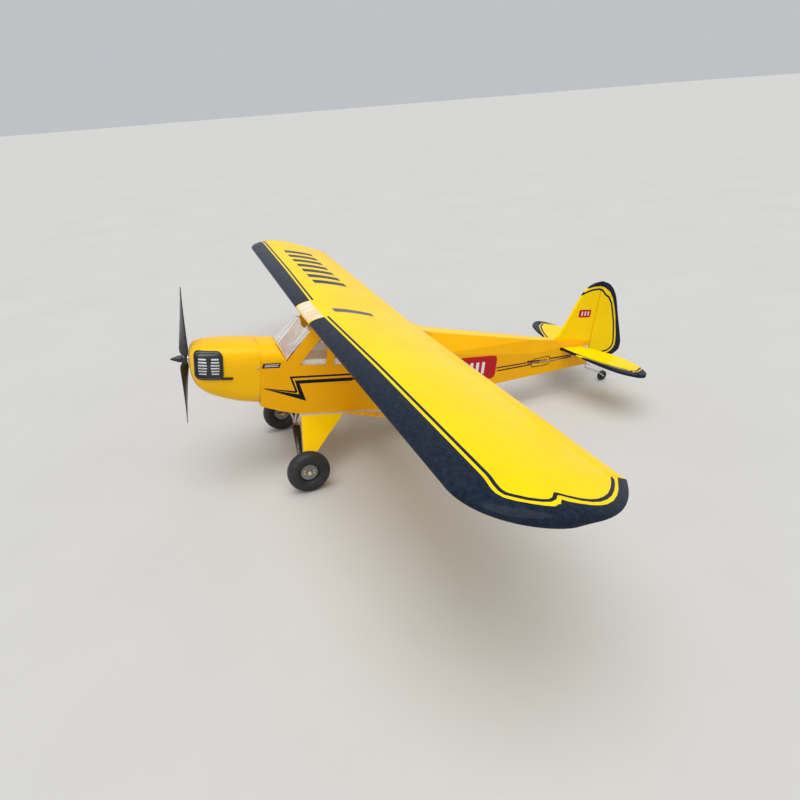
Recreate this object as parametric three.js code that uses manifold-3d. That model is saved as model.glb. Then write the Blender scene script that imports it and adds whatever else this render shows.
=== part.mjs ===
// A high-wing radio-controlled tail-wheel aeroplane, standing on its three wheels. Millimetres, +Z up.
// Every piece is drawn in the aeroplane's own axes: origin half-way between the main wheels,
// x to port, y aft, z up and square to the thrust line. One group then pitches the whole aeroplane
// nose-up to the attitude it stands in and puts its bounding box centre over the origin.
import * as THREE from 'three';
import { mergeVertices } from 'three/addons/utils/BufferGeometryUtils.js';
import Module from 'manifold-3d';

const wasm = await Module();
wasm.setup();

// ---- driving dimensions ----
const GAP = 0.35; // clearance between touching pieces
const PITCH = THREE.MathUtils.degToRad(9.5); // nose-up attitude on the ground
const ORIGIN_SHIFT = -373; // brings the middle of the length over the origin
const SKIN = 2.5; // thickness of the fuselage sheeting

const HALF_SPAN = 893;
const CHORD = 262;
const WING_LE = { y: 14, z: 317 };
const WING_DROP = 14; // how far the trailing edge lies below the leading edge
const DIHEDRAL = THREE.MathUtils.degToRad(0.9);
const CAMBER = 0.045;
const THICKNESS = 0.105;
const TIP_LE_START = 782; // where the leading edge starts to curve round the tip
const TIP_TE_START = 803; // and where the trailing edge turns in, at a corner
const TIP_POINT = 111; // distance of the outermost point aft of the leading edge
const TIP_LIFT = 5; // how far the edge of the tip lies above the line of the wing
const AILERON = { from: 190, to: 801.5, chord: 28, radius: 3.8, gap: 1.2 };

const THRUST = { y: -248.6, z: 224.4 };
const PROP = { radius: 164, hub: 12.5, thickness: 11, pitch: 150, turn: 4.5 };

const TYRE = { radius: 49.3, width: 31.7, rim: 20, track: 163.3 };
const TAIL_TYRE = { radius: 15.2, width: 9, rim: 6, y: 921 };
TAIL_TYRE.z = (TAIL_TYRE.radius - TYRE.radius + TAIL_TYRE.y * Math.sin(PITCH)) / Math.cos(PITCH);

const NOSE = -92; // joint between cowl and fuselage
const STERN = 846;
const CABIN_HALF = 62;
const TAPER_START = 245; // the fuselage narrows aft of here
const STERN_HALF = 6.5;
const BELLY = [[NOSE, 124], [-45, 108], [0, 98], [190, 93], [STERN, 162.5]];
const LONGERON = [[NOSE, 200], [TAPER_START - 5, 234], [STERN, 193]]; // the sides stand upright below it
const DECK = [[277, 292], [298, 286.5], [341, 275.5], [643, 244.5], [STERN, 230]];
const DECK_HALF = [[TAPER_START, CABIN_HALF], [277, 42], [298, 32], [341, 24], [643, 16.5], [STERN, 5.5]];
const DECK_SIDE = 228; // top edge of the sides ahead of the windscreen
const DECK_CROWN = 35;

const TAIL_Z = 213; // middle of the tailplane
const TAIL_THICK = 8;
const ELEVATOR_HINGE = 830;
const RUDDER_HINGE = 853;
const HINGE_GAP = 1.2;

// ---- solids ----
const wasmMesh = (g) => {
  const clean = g.clone();
  clean.deleteAttribute('normal');
  clean.deleteAttribute('uv');
  const m = mergeVertices(clean, 1e-4);
  return new wasm.Mesh({
    numProp: 3,
    vertProperties: new Float32Array(m.attributes.position.array),
    triVerts: new Uint32Array(m.index.array),
  });
};
const solid = (g) => new wasm.Manifold(wasmMesh(g));
const surface = (s) => {
  const m = s.getMesh();
  const g = new THREE.BufferGeometry();
  g.setAttribute('position', new THREE.BufferAttribute(new Float32Array(m.vertProperties), 3));
  g.setIndex(new THREE.BufferAttribute(new Uint32Array(m.triVerts), 1));
  g.computeVertexNormals();
  return g;
};
const cut = (body, ...tools) => surface(tools.reduce((s, t) => s.subtract(solid(t)), solid(body)));
const join = (...parts) => surface(parts.slice(1).reduce((s, p) => s.add(solid(p)), solid(parts[0])));
const common = (a, b) => surface(solid(a).intersect(solid(b)));

// Volume under the signed triangles; negative when the faces point in.
function signedVolume(points, faces) {
  let sum = 0;
  for (const [a, b, c] of faces) sum += points[a].dot(points[b].clone().cross(points[c]));
  return sum;
}

// Closed solid through rings of equal point count, with flat caps.
function loft(rings) {
  const n = rings[0].length;
  const points = rings.flat();
  const faces = [];
  for (let i = 0; i + 1 < rings.length; i++) {
    for (let j = 0; j < n; j++) {
      const k = (j + 1) % n;
      const [a, b, c, d] = [i * n + j, i * n + k, (i + 1) * n + k, (i + 1) * n + j];
      faces.push([a, b, c], [a, c, d]);
    }
  }
  for (const [start, flip] of [[0, true], [(rings.length - 1) * n, false]]) {
    const centre = new THREE.Vector3();
    for (let j = 0; j < n; j++) centre.addScaledVector(points[start + j], 1 / n);
    const at = points.push(centre) - 1;
    for (let j = 0; j < n; j++) {
      const k = (j + 1) % n;
      faces.push(flip ? [at, start + k, start + j] : [at, start + j, start + k]);
    }
  }
  const inward = signedVolume(points, faces) < 0;
  const g = new THREE.BufferGeometry();
  g.setAttribute('position', new THREE.Float32BufferAttribute(points.flatMap((p) => [p.x, p.y, p.z]), 3));
  g.setIndex(faces.flatMap(([a, b, c]) => (inward ? [a, c, b] : [a, b, c])));
  g.computeVertexNormals();
  return g;
}

// Outline in the plane square to an axis ('x': y,z  'y': x,z  'z': x,y), pushed from one depth to another.
function prism(outline, axis, from, to) {
  const place = {
    x: ([a, b], d) => new THREE.Vector3(d, a, b),
    y: ([a, b], d) => new THREE.Vector3(a, d, b),
    z: ([a, b], d) => new THREE.Vector3(a, b, d),
  }[axis];
  const shape = new THREE.Shape(outline.map(([a, b]) => new THREE.Vector2(a, b)));
  const g = new THREE.ExtrudeGeometry(shape, { depth: to - from, bevelEnabled: false });
  const p = g.attributes.position;
  for (let i = 0; i < p.count; i++) {
    const v = place([p.getX(i), p.getY(i)], from + p.getZ(i));
    p.setXYZ(i, v.x, v.y, v.z);
  }
  if (axis === 'y') flipFaces(g);
  g.computeVertexNormals();
  return g;
}

function flipFaces(g) {
  const p = g.attributes.position;
  for (let i = 0; i < p.count; i += 3) {
    const [x, y, z] = [p.getX(i + 1), p.getY(i + 1), p.getZ(i + 1)];
    p.setXYZ(i + 1, p.getX(i + 2), p.getY(i + 2), p.getZ(i + 2));
    p.setXYZ(i + 2, x, y, z);
  }
}

const v3 = (x, y, z) => new THREE.Vector3(x, y, z);
const box = (x0, x1, y0, y1, z0, z1) =>
  new THREE.BoxGeometry(x1 - x0, y1 - y0, z1 - z0).translate((x0 + x1) / 2, (y0 + y1) / 2, (z0 + z1) / 2);

// Round or flattened bar from one point to another; flat < 1 thins it along the second direction.
function bar(a, b, ra, rb = ra, sides = 10, flat = 1, wide = v3(0, 1, 0)) {
  const axis = b.clone().sub(a).normalize();
  const hint = Math.abs(wide.dot(axis)) > 0.99 ? v3(1, 0, 0) : wide;
  const u = hint.clone().addScaledVector(axis, -hint.dot(axis)).normalize();
  const w = axis.clone().cross(u);
  const ring = (c, r) =>
    Array.from({ length: sides }, (_, i) => {
      const t = (2 * Math.PI * i) / sides;
      return c.clone().addScaledVector(u, r * Math.cos(t)).addScaledVector(w, r * flat * Math.sin(t));
    });
  return loft([ring(a, ra), ring(b, rb)]);
}

// Lathe about the x or the y axis; profile is [distance along it, radius] from axis to axis.
function turned(profile, axis, sides = 24) {
  const g = new THREE.LatheGeometry(profile.map(([a, r]) => new THREE.Vector2(r, a)), sides);
  if (axis === 'x') g.rotateZ(-Math.PI / 2);
  return g;
}

// Value at y on a line through [y, value] stations.
function along(stations, y) {
  const last = stations.length - 1;
  const found = stations.findIndex(([at]) => at >= y);
  const i = found < 0 ? last : Math.max(1, found);
  const [[y0, v0], [y1, v1]] = [stations[i - 1], stations[i]];
  return v0 + ((v1 - v0) * (y - y0)) / (y1 - y0);
}

const material = (color, roughness, metalness = 0) =>
  new THREE.MeshStandardMaterial({ color, roughness, metalness });
const YELLOW = material(0xf7c600, 0.3);
const BLACK = material(0x15171a, 0.3);
const RUBBER = material(0x1b1c1e, 0.8);
const METAL = material(0xb9bcc0, 0.35, 1);
const COPPER = material(0xc0682c, 0.4, 1);
const PLY = material(0xc99a5e, 0.75);
const CLEAR = material(0xdfe4e6, 0.1);
const SERVO = material(0x22262c, 0.5);
const NYLON = material(0xe8e6df, 0.5);

const aeroplane = new THREE.Group();
aeroplane.rotation.x = -PITCH;
aeroplane.position.set(0, ORIGIN_SHIFT, TYRE.radius);

function piece(name, geometry, look, x = 0, y = 0, z = 0) {
  const mesh = new THREE.Mesh(geometry, look);
  mesh.name = name;
  mesh.position.set(x, y, z);
  aeroplane.add(mesh);
  return mesh;
}
const mirrored = (g) => {
  const m = (g.index ? g.toNonIndexed() : g.clone()).scale(-1, 1, 1);
  flipFaces(m);
  return m;
};
// The same geometry to port and, mirrored, to starboard.
function pair(name, geometry, look) {
  piece(`${name}_port`, geometry, look);
  piece(`${name}_starboard`, mirrored(geometry), look);
}

// ---- wing ----
const upperHalf = (s) =>
  5 * THICKNESS * (0.2969 * Math.sqrt(s) - 0.126 * s - 0.3516 * s ** 2 + 0.2843 * s ** 3 - 0.1015 * s ** 4);
const camberAt = (s) => {
  const crest = 0.4;
  const rise = 2 * crest * s - s * s;
  return s < crest ? (CAMBER / crest ** 2) * rise : (CAMBER / (1 - crest) ** 2) * (1 - 2 * crest + rise);
};
const tipCurve = (t) => 1 - Math.sqrt(Math.max(0, 1 - t * t));
const tipSweep = (t) => 1 - Math.max(0, 1 - t) ** 0.4;
function wingChord(x) {
  const te = WING_LE.y + CHORD;
  const tip = WING_LE.y + TIP_POINT;
  const a = Math.max(0, (x - TIP_LE_START) / (HALF_SPAN - TIP_LE_START));
  const b = Math.max(0, (x - TIP_TE_START) / (HALF_SPAN - TIP_TE_START));
  return [WING_LE.y + (tip - WING_LE.y) * tipCurve(a), te - (te - tip) * tipSweep(b)];
}
const chordLine = (y) => WING_LE.z - (WING_DROP * (y - WING_LE.y)) / CHORD;
const tipLift = (x) => TIP_LIFT * Math.max(0, (x - TIP_LE_START) / (HALF_SPAN - TIP_LE_START)) ** 2;
function wingRing(x, count = 11) {
  const [le, te] = wingChord(x);
  const c = te - le;
  const rise = x * Math.tan(DIHEDRAL) + tipLift(x);
  const half = (s) => upperHalf(s) * Math.sqrt(c * CHORD) + 0.4;
  const at = (s, side) => v3(x, le + c * s, chordLine(le + c * s) + rise + camberAt(s) * c + side * half(s));
  const steps = Array.from({ length: count + 1 }, (_, i) => (1 - Math.cos((Math.PI * i) / count)) / 2);
  const top = steps.map((s) => at(s, 1));
  const bottom = steps.map((s) => at(s, -1)).reverse();
  return [...top, ...bottom];
}
const tipStations = [782, 803, 818, 834, 850, 864, 876, 885, 890.5, HALF_SPAN - 0.3];
const wingStations = [GAP, 300, 560, ...tipStations];
const hingeY = WING_LE.y + CHORD - AILERON.chord;
const hingeRise = (x) => x * Math.tan(DIHEDRAL);
const hingeZ = chordLine(hingeY) + camberAt(1 - AILERON.chord / CHORD) * CHORD + 0.3;

const SERVO_X = 500;
const ARM = 14; // length of the arms and horns of the wing linkages
const WING_SERVO = { y: 196, length: 24, width: 12, height: 15 };
const servoTop = () => hingeZ + hingeRise(SERVO_X) + 6;

function wingPanel() {
  const slot = aileronReach(AILERON.gap);
  const y0 = WING_SERVO.y;
  const pocket = box(SERVO_X - 12, SERVO_X + 6, y0 - 14, y0 + 14, servoTop() - 40, servoTop() + GAP);
  return cut(loft(wingStations.map((x) => wingRing(x))), slot, pocket);
}
// The space behind the wing's rear face that the aileron turns in.
function aileronReach(margin) {
  const y = hingeY - AILERON.radius - margin;
  return box(AILERON.from - margin, AILERON.to + margin, y, y + 90, 270, 370);
}
function aileronRing(x) {
  const rise = hingeRise(x);
  const r = AILERON.radius;
  const nose = Array.from({ length: 7 }, (_, i) => {
    const t = Math.PI / 2 + (Math.PI * i) / 6;
    return v3(x, hingeY + r * Math.cos(t), hingeZ + rise + r * Math.sin(t));
  });
  const te = wingChord(x)[1];
  return [v3(x, te, chordLine(te) + rise + 0.6), ...nose, v3(x, te, chordLine(te) + rise - 0.6)];
}
function aileron() {
  const body = loft([AILERON.from, AILERON.to - 0.5].map(aileronRing));
  return join(body, hornPlate(SERVO_X + 5, hingeY, hingeZ + hingeRise(SERVO_X), ARM));
}
// Control horn: a thin plate hanging from a surface, its lower corner on the linkage pin.
function hornPlate(x, y, z, reach) {
  const outline = [[y - 3, z - 2], [y + 12, z - 2], [y + 3, z - reach - 3], [y - 3, z - reach - 3]];
  return prism(outline, 'x', x - 0.8, x + 0.8);
}
pair('wing_panel', wingPanel(), YELLOW);
pair('aileron', aileron(), YELLOW);

// ---- wing linkages: servo, arm and pushrod under each panel ----
function servoArm(x, y, z, reach, side) {
  const blade = bar(v3(x, y, z), v3(x, y, z - reach), 3.2, 2.2, 10, 0.35, v3(0, 1, 0));
  const boss = bar(v3(x - side * 1.6, y, z), v3(x + side * 1.1, y, z), 3.4, 3.4, 12);
  return join(blade, boss);
}
function wingServo() {
  const y0 = WING_SERVO.y;
  const top = servoTop();
  return box(SERVO_X - 11.5, SERVO_X + 0.2, y0 - 12, y0 + 12, top - WING_SERVO.height, top);
}
const wingPin = { y: WING_SERVO.y, z: hingeZ + hingeRise(SERVO_X) - ARM };
pair('aileron_servo', wingServo(), SERVO);
pair('aileron_servo_arm', servoArm(SERVO_X + 2.4, WING_SERVO.y, wingPin.z + ARM, ARM, 1), NYLON);
pair(
  'aileron_pushrod',
  join(
    bar(v3(SERVO_X + 7.9, wingPin.y + 5, wingPin.z), v3(SERVO_X + 7.9, hingeY + 3, wingPin.z), 1.1, 1.1, 8),
    bar(v3(SERVO_X + 6.4, hingeY, wingPin.z), v3(SERVO_X + 8.2, hingeY, wingPin.z), 1.4, 1.4, 8),
  ),
  METAL,
);

// ---- fuselage ----
const halfWidth = (y) => along([[NOSE, CABIN_HALF], [TAPER_START, CABIN_HALF], [STERN, STERN_HALF]], y);
const bellyZ = (y) => along(BELLY, y);
const deckZ = (y) => along(DECK, y);
const WINDSCREEN_FOOT = { y: -33, z: DECK_SIDE };
const SADDLE = [[26, 307], [60, 306.4], [150, 305.6], [215, 301.6], [255, 297], [277, 292]];
const SIDE_TOP = [[NOSE, DECK_SIDE], [WINDSCREEN_FOOT.y, WINDSCREEN_FOOT.z], ...SADDLE, ...DECK.slice(1)];
const WINDOWS = [
  [[-4, 220], [59, 217], [59, 296], [54, 296]],
  [[77, 215], [150, 215], [150, 297], [77, 297]],
  [[160, 219], [232, 234], [232, 288], [160, 296]],
];
const tailSlot = () => box(-40, 40, 740, 900, TAIL_Z - TAIL_THICK / 2 - GAP, TAIL_Z + TAIL_THICK / 2 + GAP);

// A side runs up from the belly to the longeron and then leans in to the edge of the deck.
const deckHalf = (y) => (y < TAPER_START ? CABIN_HALF : along(DECK_HALF, y));
function sideRing(y) {
  const [foot, knee, top] = [bellyZ(y), along(LONGERON, y), along(SIDE_TOP, y)];
  const [wide, high] = [halfWidth(y), deckHalf(y)];
  const corners = [[wide, foot], [wide, Math.min(knee, top - 1)], [high, top]];
  const outer = corners.map(([x, z]) => v3(x, y, z));
  const inner = corners.map(([x, z]) => v3(x - SKIN, y, z)).reverse();
  return [...outer, ...inner];
}
function fuselageSide(rodSlot) {
  const stations = [NOSE + GAP, -45, WINDSCREEN_FOOT.y, 0, ...SADDLE.map(([y]) => y), 190, TAPER_START];
  stations.push(...DECK.slice(1).map(([y]) => y));
  stations.sort((a, b) => a - b);
  const openings = WINDOWS.map((w) => prism(w, 'x', 0, 100));
  return cut(loft(stations.map(sideRing)), ...openings, tailSlot(), rodSlot);
}
// Slots where the tail pushrods leave the sides of the fuselage.
const elevatorSlot = () => box(0, 60, 610, 725, 173, 195);
const rudderSlot = () => box(0, 60, 590, 745, 182, 198);

// Sheet across the fuselage between its sides.
function strip(stations, half, lower, upper) {
  return loft(
    stations.map((y) => {
      const [x, low, high] = [half(y) - SKIN - GAP, lower(y), upper(y)];
      return [v3(-x, y, low), v3(x, y, low), v3(x, y, high), v3(-x, y, high)];
    }),
  );
}
const belly = () =>
  strip([NOSE + GAP, -45, 0, 190, STERN - 40], halfWidth, bellyZ, (y) => bellyZ(y) + SKIN);
const turtledeck = () => strip([278, 298, 341, 643, STERN - 8], deckHalf, (y) => deckZ(y) - SKIN, deckZ);

// Curved deck ahead of the windscreen, cut to the slope of the glass.
function deckArc(inset) {
  const steps = 12;
  const [wide, high] = [CABIN_HALF - inset, DECK_CROWN - inset];
  return Array.from({ length: steps + 1 }, (_, i) => {
    const t = (Math.PI * i) / steps;
    const c = Math.cos(t);
    return [wide * Math.sign(c) * Math.abs(c) ** 0.7, DECK_SIDE + GAP + high * Math.sin(t) ** 0.9];
  });
}
function frontDeck() {
  const sheet = prism([...deckArc(0), ...deckArc(SKIN).reverse()], 'y', NOSE + GAP, -30);
  const glass = [[-70, 300], [-56, 266], [-33, 230], [-33, 200], [10, 200], [10, 300]];
  return cut(sheet, prism(glass, 'x', -80, 80));
}

function windscreen() {
  const thick = 1.2;
  const stations = [
    [-61.5, -34, 232.5, 18, 300],
    [-41, -46, 252.5, 3, 307],
    [0, -55, 264.5, 8, 312],
    [41, -46, 252.5, 3, 307],
    [61.5, -34, 232.5, 18, 300],
  ];
  return loft(
    stations.map(([x, yFoot, zFoot, yTop, zTop]) => [
      v3(x, yFoot, zFoot),
      v3(x, yTop, zTop),
      v3(x * 0.985, yTop + thick, zTop - thick * 0.3),
      v3(x * 0.985, yFoot + thick * 1.4, zFoot),
    ]),
  );
}

function glazing() {
  const x = CABIN_HALF - SKIN - GAP;
  return prism([[-8, 214], [238, 231], [238, 292], [155, 300], [50, 300]], 'x', x - 1, x);
}

function cabinFrame() {
  const w = CABIN_HALF - SKIN - 2 * GAP - 1;
  const former = cut(box(-w + 4, w - 4, 240, 243, 112, 288), box(-38, 38, 230, 250, 130, 270));
  const tray = box(-w + 4, w - 4, 96, 243, 150, 153);
  const wells = [box(-41, -9, 178, 222, 140, 160), box(3.5, 16, 125, 250, 140, 160)];
  return cut(join(former, tray), ...wells);
}

piece('fuselage_side_port', fuselageSide(elevatorSlot()), YELLOW);
piece('fuselage_side_starboard', mirrored(fuselageSide(rudderSlot())), YELLOW);
piece('fuselage_belly', belly(), YELLOW);
piece('fuselage_front_deck', frontDeck(), YELLOW);
piece('fuselage_turtledeck', turtledeck(), YELLOW);
piece('windscreen', windscreen(), CLEAR);
pair('side_window', glazing(), CLEAR);
piece('cabin_frame', cabinFrame(), PLY);
const firewallHalf = CABIN_HALF - SKIN - GAP;
const firewallFoot = bellyZ(NOSE + 5) + SKIN + 4;
piece('firewall', box(-firewallHalf, firewallHalf, NOSE + 1, NOSE + 5, firewallFoot, DECK_SIDE - 1), PLY);

// ---- cowl ----
const COWL = [
  { y: NOSE - GAP, top: 263, bottom: 123, half: 62, square: 4.2 },
  { y: -142, top: 265.5, bottom: 129, half: 62, square: 3.6 },
  { y: -190, top: 265.5, bottom: 143, half: 60, square: 3.1 },
  { y: -214, top: 263.5, bottom: 156, half: 56, square: 2.9 },
  { y: -229, top: 259, bottom: 172, half: 48.5, square: 2.7 },
  { y: -236, top: 250, bottom: 189, half: 37, square: 2.5 },
];
function cowlRing({ y, top, bottom, half, square }, inset) {
  const n = 28;
  const mid = (top + bottom) / 2;
  const power = 2 / square;
  return Array.from({ length: n }, (_, i) => {
    const t = (2 * Math.PI * i) / n;
    const [c, s] = [Math.cos(t), Math.sin(t)];
    const x = (half - inset) * Math.sign(c) * Math.abs(c) ** power;
    return v3(x, y, mid + ((top - bottom) / 2 - inset) * Math.sign(s) * Math.abs(s) ** power);
  });
}
const cowlSolid = (inset) => loft(COWL.map((s) => cowlRing(s, inset)));
function cowl() {
  const wall = 1.6;
  const inner = loft(COWL.map((s, i) => cowlRing({ ...s, y: s.y + (i ? wall : 20) }, wall)));
  const shaftHole = bar(v3(0, -260, THRUST.z), v3(0, -200, THRUST.z), 13, 13, 20);
  return cut(cowlSolid(0), inner, shaftHole);
}
const CHEEK = { from: -231, to: -171, low: 194, high: 256, corner: 11, tail: -151 };
function roundedRect(y0, y1, z0, z1, r) {
  const corners = [[y1 - r, z1 - r, 0], [y0 + r, z1 - r, 1], [y0 + r, z0 + r, 2], [y1 - r, z0 + r, 3]];
  return corners.flatMap(([y, z, q]) =>
    [0, 0.5, 1].map((k) => {
      const t = (Math.PI / 2) * (q + k);
      return [y + r * Math.cos(t), z + r * Math.sin(t)];
    }),
  );
}
function cheek() {
  const frame = prism(roundedRect(CHEEK.from, CHEEK.to, CHEEK.low, CHEEK.high, CHEEK.corner), 'x', 30, 80);
  const tail = box(30, 80, CHEEK.to - 14, CHEEK.tail, CHEEK.low, CHEEK.low + 5);
  const shell = (inset) => cowlSolid(inset);
  return cut(common(join(frame, tail), shell(-4)), shell(-GAP));
}
piece('cowl', cowl(), YELLOW);
pair('cheek_inlet', cheek(), BLACK);
for (const [level, z] of [['upper', 217], ['lower', 152]]) {
  const head = bar(v3(CABIN_HALF + GAP, -98, z), v3(CABIN_HALF + 2, -98, z), 2.4, 1.6, 10);
  pair(`cowl_screw_${level}`, head, METAL);
}

// ---- motor and propeller, turning about the thrust line ----
function blade() {
  const stations = [4, 22, 50, 85, 120, 148, 160, PROP.radius];
  return loft(
    stations.map((r) => {
      const u = r / PROP.radius;
      const half = r < PROP.hub ? 5 : 9.5 + 7 * Math.sin(Math.PI * Math.min(1, u * 1.15)) - 5 * u ** 3;
      const chord = r === PROP.radius ? half * 0.35 : half;
      const thick = 3.4 * (1 - u) + 0.7;
      const twist = Math.atan(PROP.pitch / (2 * Math.PI * Math.max(r, 22)));
      return Array.from({ length: 10 }, (_, i) => {
        const t = (2 * Math.PI * i) / 10;
        const [a, b] = [chord * Math.cos(t), thick * Math.sin(t)];
        return v3(a * Math.cos(twist) - b * Math.sin(twist), a * Math.sin(twist) + b * Math.cos(twist), r);
      });
    }),
  );
}
function propeller() {
  const one = blade();
  const two = blade().rotateY(Math.PI);
  const face = PROP.thickness / 2;
  const hub = turned([[-face, 0], [-face, PROP.hub], [face, PROP.hub], [face, 0]], 'y', 20);
  return join(one, two, hub).rotateY(THREE.MathUtils.degToRad(PROP.turn));
}
piece('propeller', propeller(), BLACK, 0, THRUST.y, THRUST.z);
// Turned pieces on the thrust line, front to back; distances are from the middle of the propeller.
const hubFace = PROP.thickness / 2;
const nut = [[-29, 0], [-27, 2.2], [-20, 4.6], [-12, 7.4], [-hubFace - GAP, 8.2], [-hubFace - GAP, 0]];
const adapter = [[hubFace + GAP, 0], [hubFace + GAP, 9.5], [9, 9.5], [9, 4.5], [23, 4.5], [23, 0]];
const bell = [[23 + GAP, 0], [23 + GAP, 11], [27, 17.5], [52, 17.5], [52, 0]];
const mount = [[53, 0], [53, 13], [58, 13], [58, 21], [156.5, 21], [156.5, 0]];
const turnedPieces = { prop_nut: [nut, BLACK], prop_adapter: [adapter, METAL], motor_bell: [bell, METAL] };
turnedPieces.motor_mount = [mount, PLY];
for (const [name, [profile, look]] of Object.entries(turnedPieces)) {
  piece(name, turned(profile, 'y', 18), look, 0, THRUST.y, THRUST.z);
}

// ---- undercarriage ----
function gearLeg() {
  const corners = [v3(62.8, 2.5, 92.5), v3(62.8, 106, 91), v3(141, 4.5, 6), v3(141, -6, 6)];
  const normal = v3(89, 0, 78.5).normalize();
  const plate = loft([-1.6, 1.6].map((d) => corners.map((c) => c.clone().addScaledVector(normal, d))));
  const axle = bar(v3(137, 0, 5), v3(146, 0, 0), 3.2, 3.2);
  const stub = bar(v3(145, 0, 0), v3(TYRE.track + 13, 0, 0), 2.5, 2.5, 12);
  return join(plate, axle, stub);
}
const shockStrut = () => bar(v3(41, -4, 57), v3(134, -12, 12), 10.5, 5, 10, 0.42, v3(0, 1, 0));
function cabane() {
  const cross = bar(v3(-33, -4, 63), v3(33, -4, 63), 3);
  const leg = (s) => bar(v3(s * 31, -4, 61), v3(s * 40, -2, bellyZ(0) - 1.2), 3.4);
  return join(cross, leg(1), leg(-1));
}
pair('gear_leg', gearLeg(), YELLOW);
pair('shock_strut', shockStrut(), BLACK);
piece('gear_cabane', cabane(), COPPER);

// Tyre: a closed ring section; hub: a disc with a shaft hole.
function tyreRing({ radius, width, rim }, sides) {
  const [a, b] = [width / 2, (radius - rim) / 2];
  const section = Array.from({ length: 13 }, (_, i) => {
    const t = -Math.PI / 2 + (2 * Math.PI * (i % 12)) / 12;
    return [a * Math.sin(t), rim + b + b * Math.cos(t)];
  });
  return turned(section, 'x', sides);
}
const hubRing = (outer, half, bore) =>
  turned([[-half, bore], [-half, outer], [half, outer], [half, bore], [-half, bore]], 'x', 20);
for (const [side, s] of [['port', 1], ['starboard', -1]]) {
  const tyre = piece(`tyre_${side}`, tyreRing(TYRE, 32), RUBBER, s * TYRE.track, 0, 0);
  tyre.rotation.x = PITCH;
  const hub = hubRing(TYRE.rim - GAP, 7, 2.5 + GAP);
  piece(`wheel_hub_${side}`, hub, METAL, s * TYRE.track, 0, 0);
}

// ---- wing struts ----
const STRUT_FOOT = { x: 64.5, z: 91 };
const STRUT_TOP_X = 580;
const STRUT_FRONT_TOP = 98; // where the front strut meets the wing, aft of the wheels
const lowerSurface = (x, y) => {
  const s = (y - WING_LE.y) / CHORD;
  return chordLine(y) + x * Math.tan(DIHEDRAL) + (camberAt(s) - upperHalf(s)) * CHORD;
};
function strut(yFoot, yTop) {
  const end = v3(STRUT_TOP_X, yTop, lowerSurface(STRUT_TOP_X, yTop) - 3.6);
  return bar(v3(STRUT_FOOT.x, yFoot, STRUT_FOOT.z), end, 5.5, 5.5, 10, 0.4, v3(0, 1, 0));
}
const JURY_X = 300;
function jury() {
  const t = (JURY_X - STRUT_FOOT.x) / (STRUT_TOP_X - STRUT_FOOT.x);
  const top = lowerSurface(STRUT_TOP_X, STRUT_FRONT_TOP) - 3.6;
  const z = STRUT_FOOT.z + t * (top - STRUT_FOOT.z);
  const under = lowerSurface(JURY_X, STRUT_FRONT_TOP) - 1.2;
  return bar(v3(JURY_X, STRUT_FRONT_TOP, z + 4.5), v3(JURY_X, STRUT_FRONT_TOP, under), 1.8, 1.8, 8);
}
pair('strut_front', strut(113, STRUT_FRONT_TOP), YELLOW);
pair('strut_rear', strut(127, 210), YELLOW);
pair('jury_strut', jury(), YELLOW);

// ---- tail ----
// Outline points of the tail surfaces joined by smooth curves.
function smooth(points, steps) {
  const curve = new THREE.CatmullRomCurve3(points.map(([a, b]) => v3(a, b, 0)), false, 'centripetal');
  return curve.getPoints(steps).map((p) => [p.x, p.y]);
}
const TAIL_LE = [[-1, 742], [60, 753], [140, 768], [200, 787], [232, 812], [241, ELEVATOR_HINGE]];
const ELEVATOR_TE = [[241, ELEVATOR_HINGE], [240, 845], [222, 862], [180, 876], [140, 877], [101, 872]];
const FIN_LE = [[724, 243], [737, 252], [752, 282], [784, 355], [798, 377], [824, 395], [RUDDER_HINGE, 401]];
const RUDDER_FOOT = 187;
const RUDDER_TE = [[RUDDER_HINGE, 401], [880, 391], [905, 362], [926, 310], [948, 255], [960, 220]];
RUDDER_TE.push([958, 200], [940, RUDDER_FOOT], [920, RUDDER_FOOT]);
const halfT = TAIL_THICK / 2;

function stabiliser() {
  const right = smooth(TAIL_LE, 14).filter(([x, y]) => x >= 0 && y < ELEVATOR_HINGE - halfT - HINGE_GAP);
  const rear = ELEVATOR_HINGE - halfT - HINGE_GAP;
  const edge = [...right, [240, rear]];
  const left = edge.slice().reverse().map(([x, y]) => [-x, y]).filter(([x]) => x < 0);
  return prism([...edge, ...left], 'z', TAIL_Z - halfT, TAIL_Z + halfT);
}
function elevatorHalf() {
  const te = smooth(ELEVATOR_TE, 14);
  const plate = prism([[24, ELEVATOR_HINGE], ...te, [60, 853]], 'z', TAIL_Z - halfT, TAIL_Z + halfT);
  const nose = bar(v3(24, ELEVATOR_HINGE, TAIL_Z), v3(241, ELEVATOR_HINGE, TAIL_Z), halfT, halfT, 12);
  return join(plate, nose);
}
function elevator() {
  const half = elevatorHalf();
  const joiner = bar(v3(-26, ELEVATOR_HINGE, TAIL_Z), v3(26, ELEVATOR_HINGE, TAIL_Z), 1.8, 1.8, 10);
  const horn = hornPlate(HORN_X, ELEVATOR_HINGE, TAIL_Z, TAIL_ARM);
  return join(half, mirrored(half), joiner, horn);
}
const TAIL_ARM = 18; // length of the arms and horns of the tail linkages
const HORN_X = 27;
const RUDDER_HORN_Z = 190;

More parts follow.
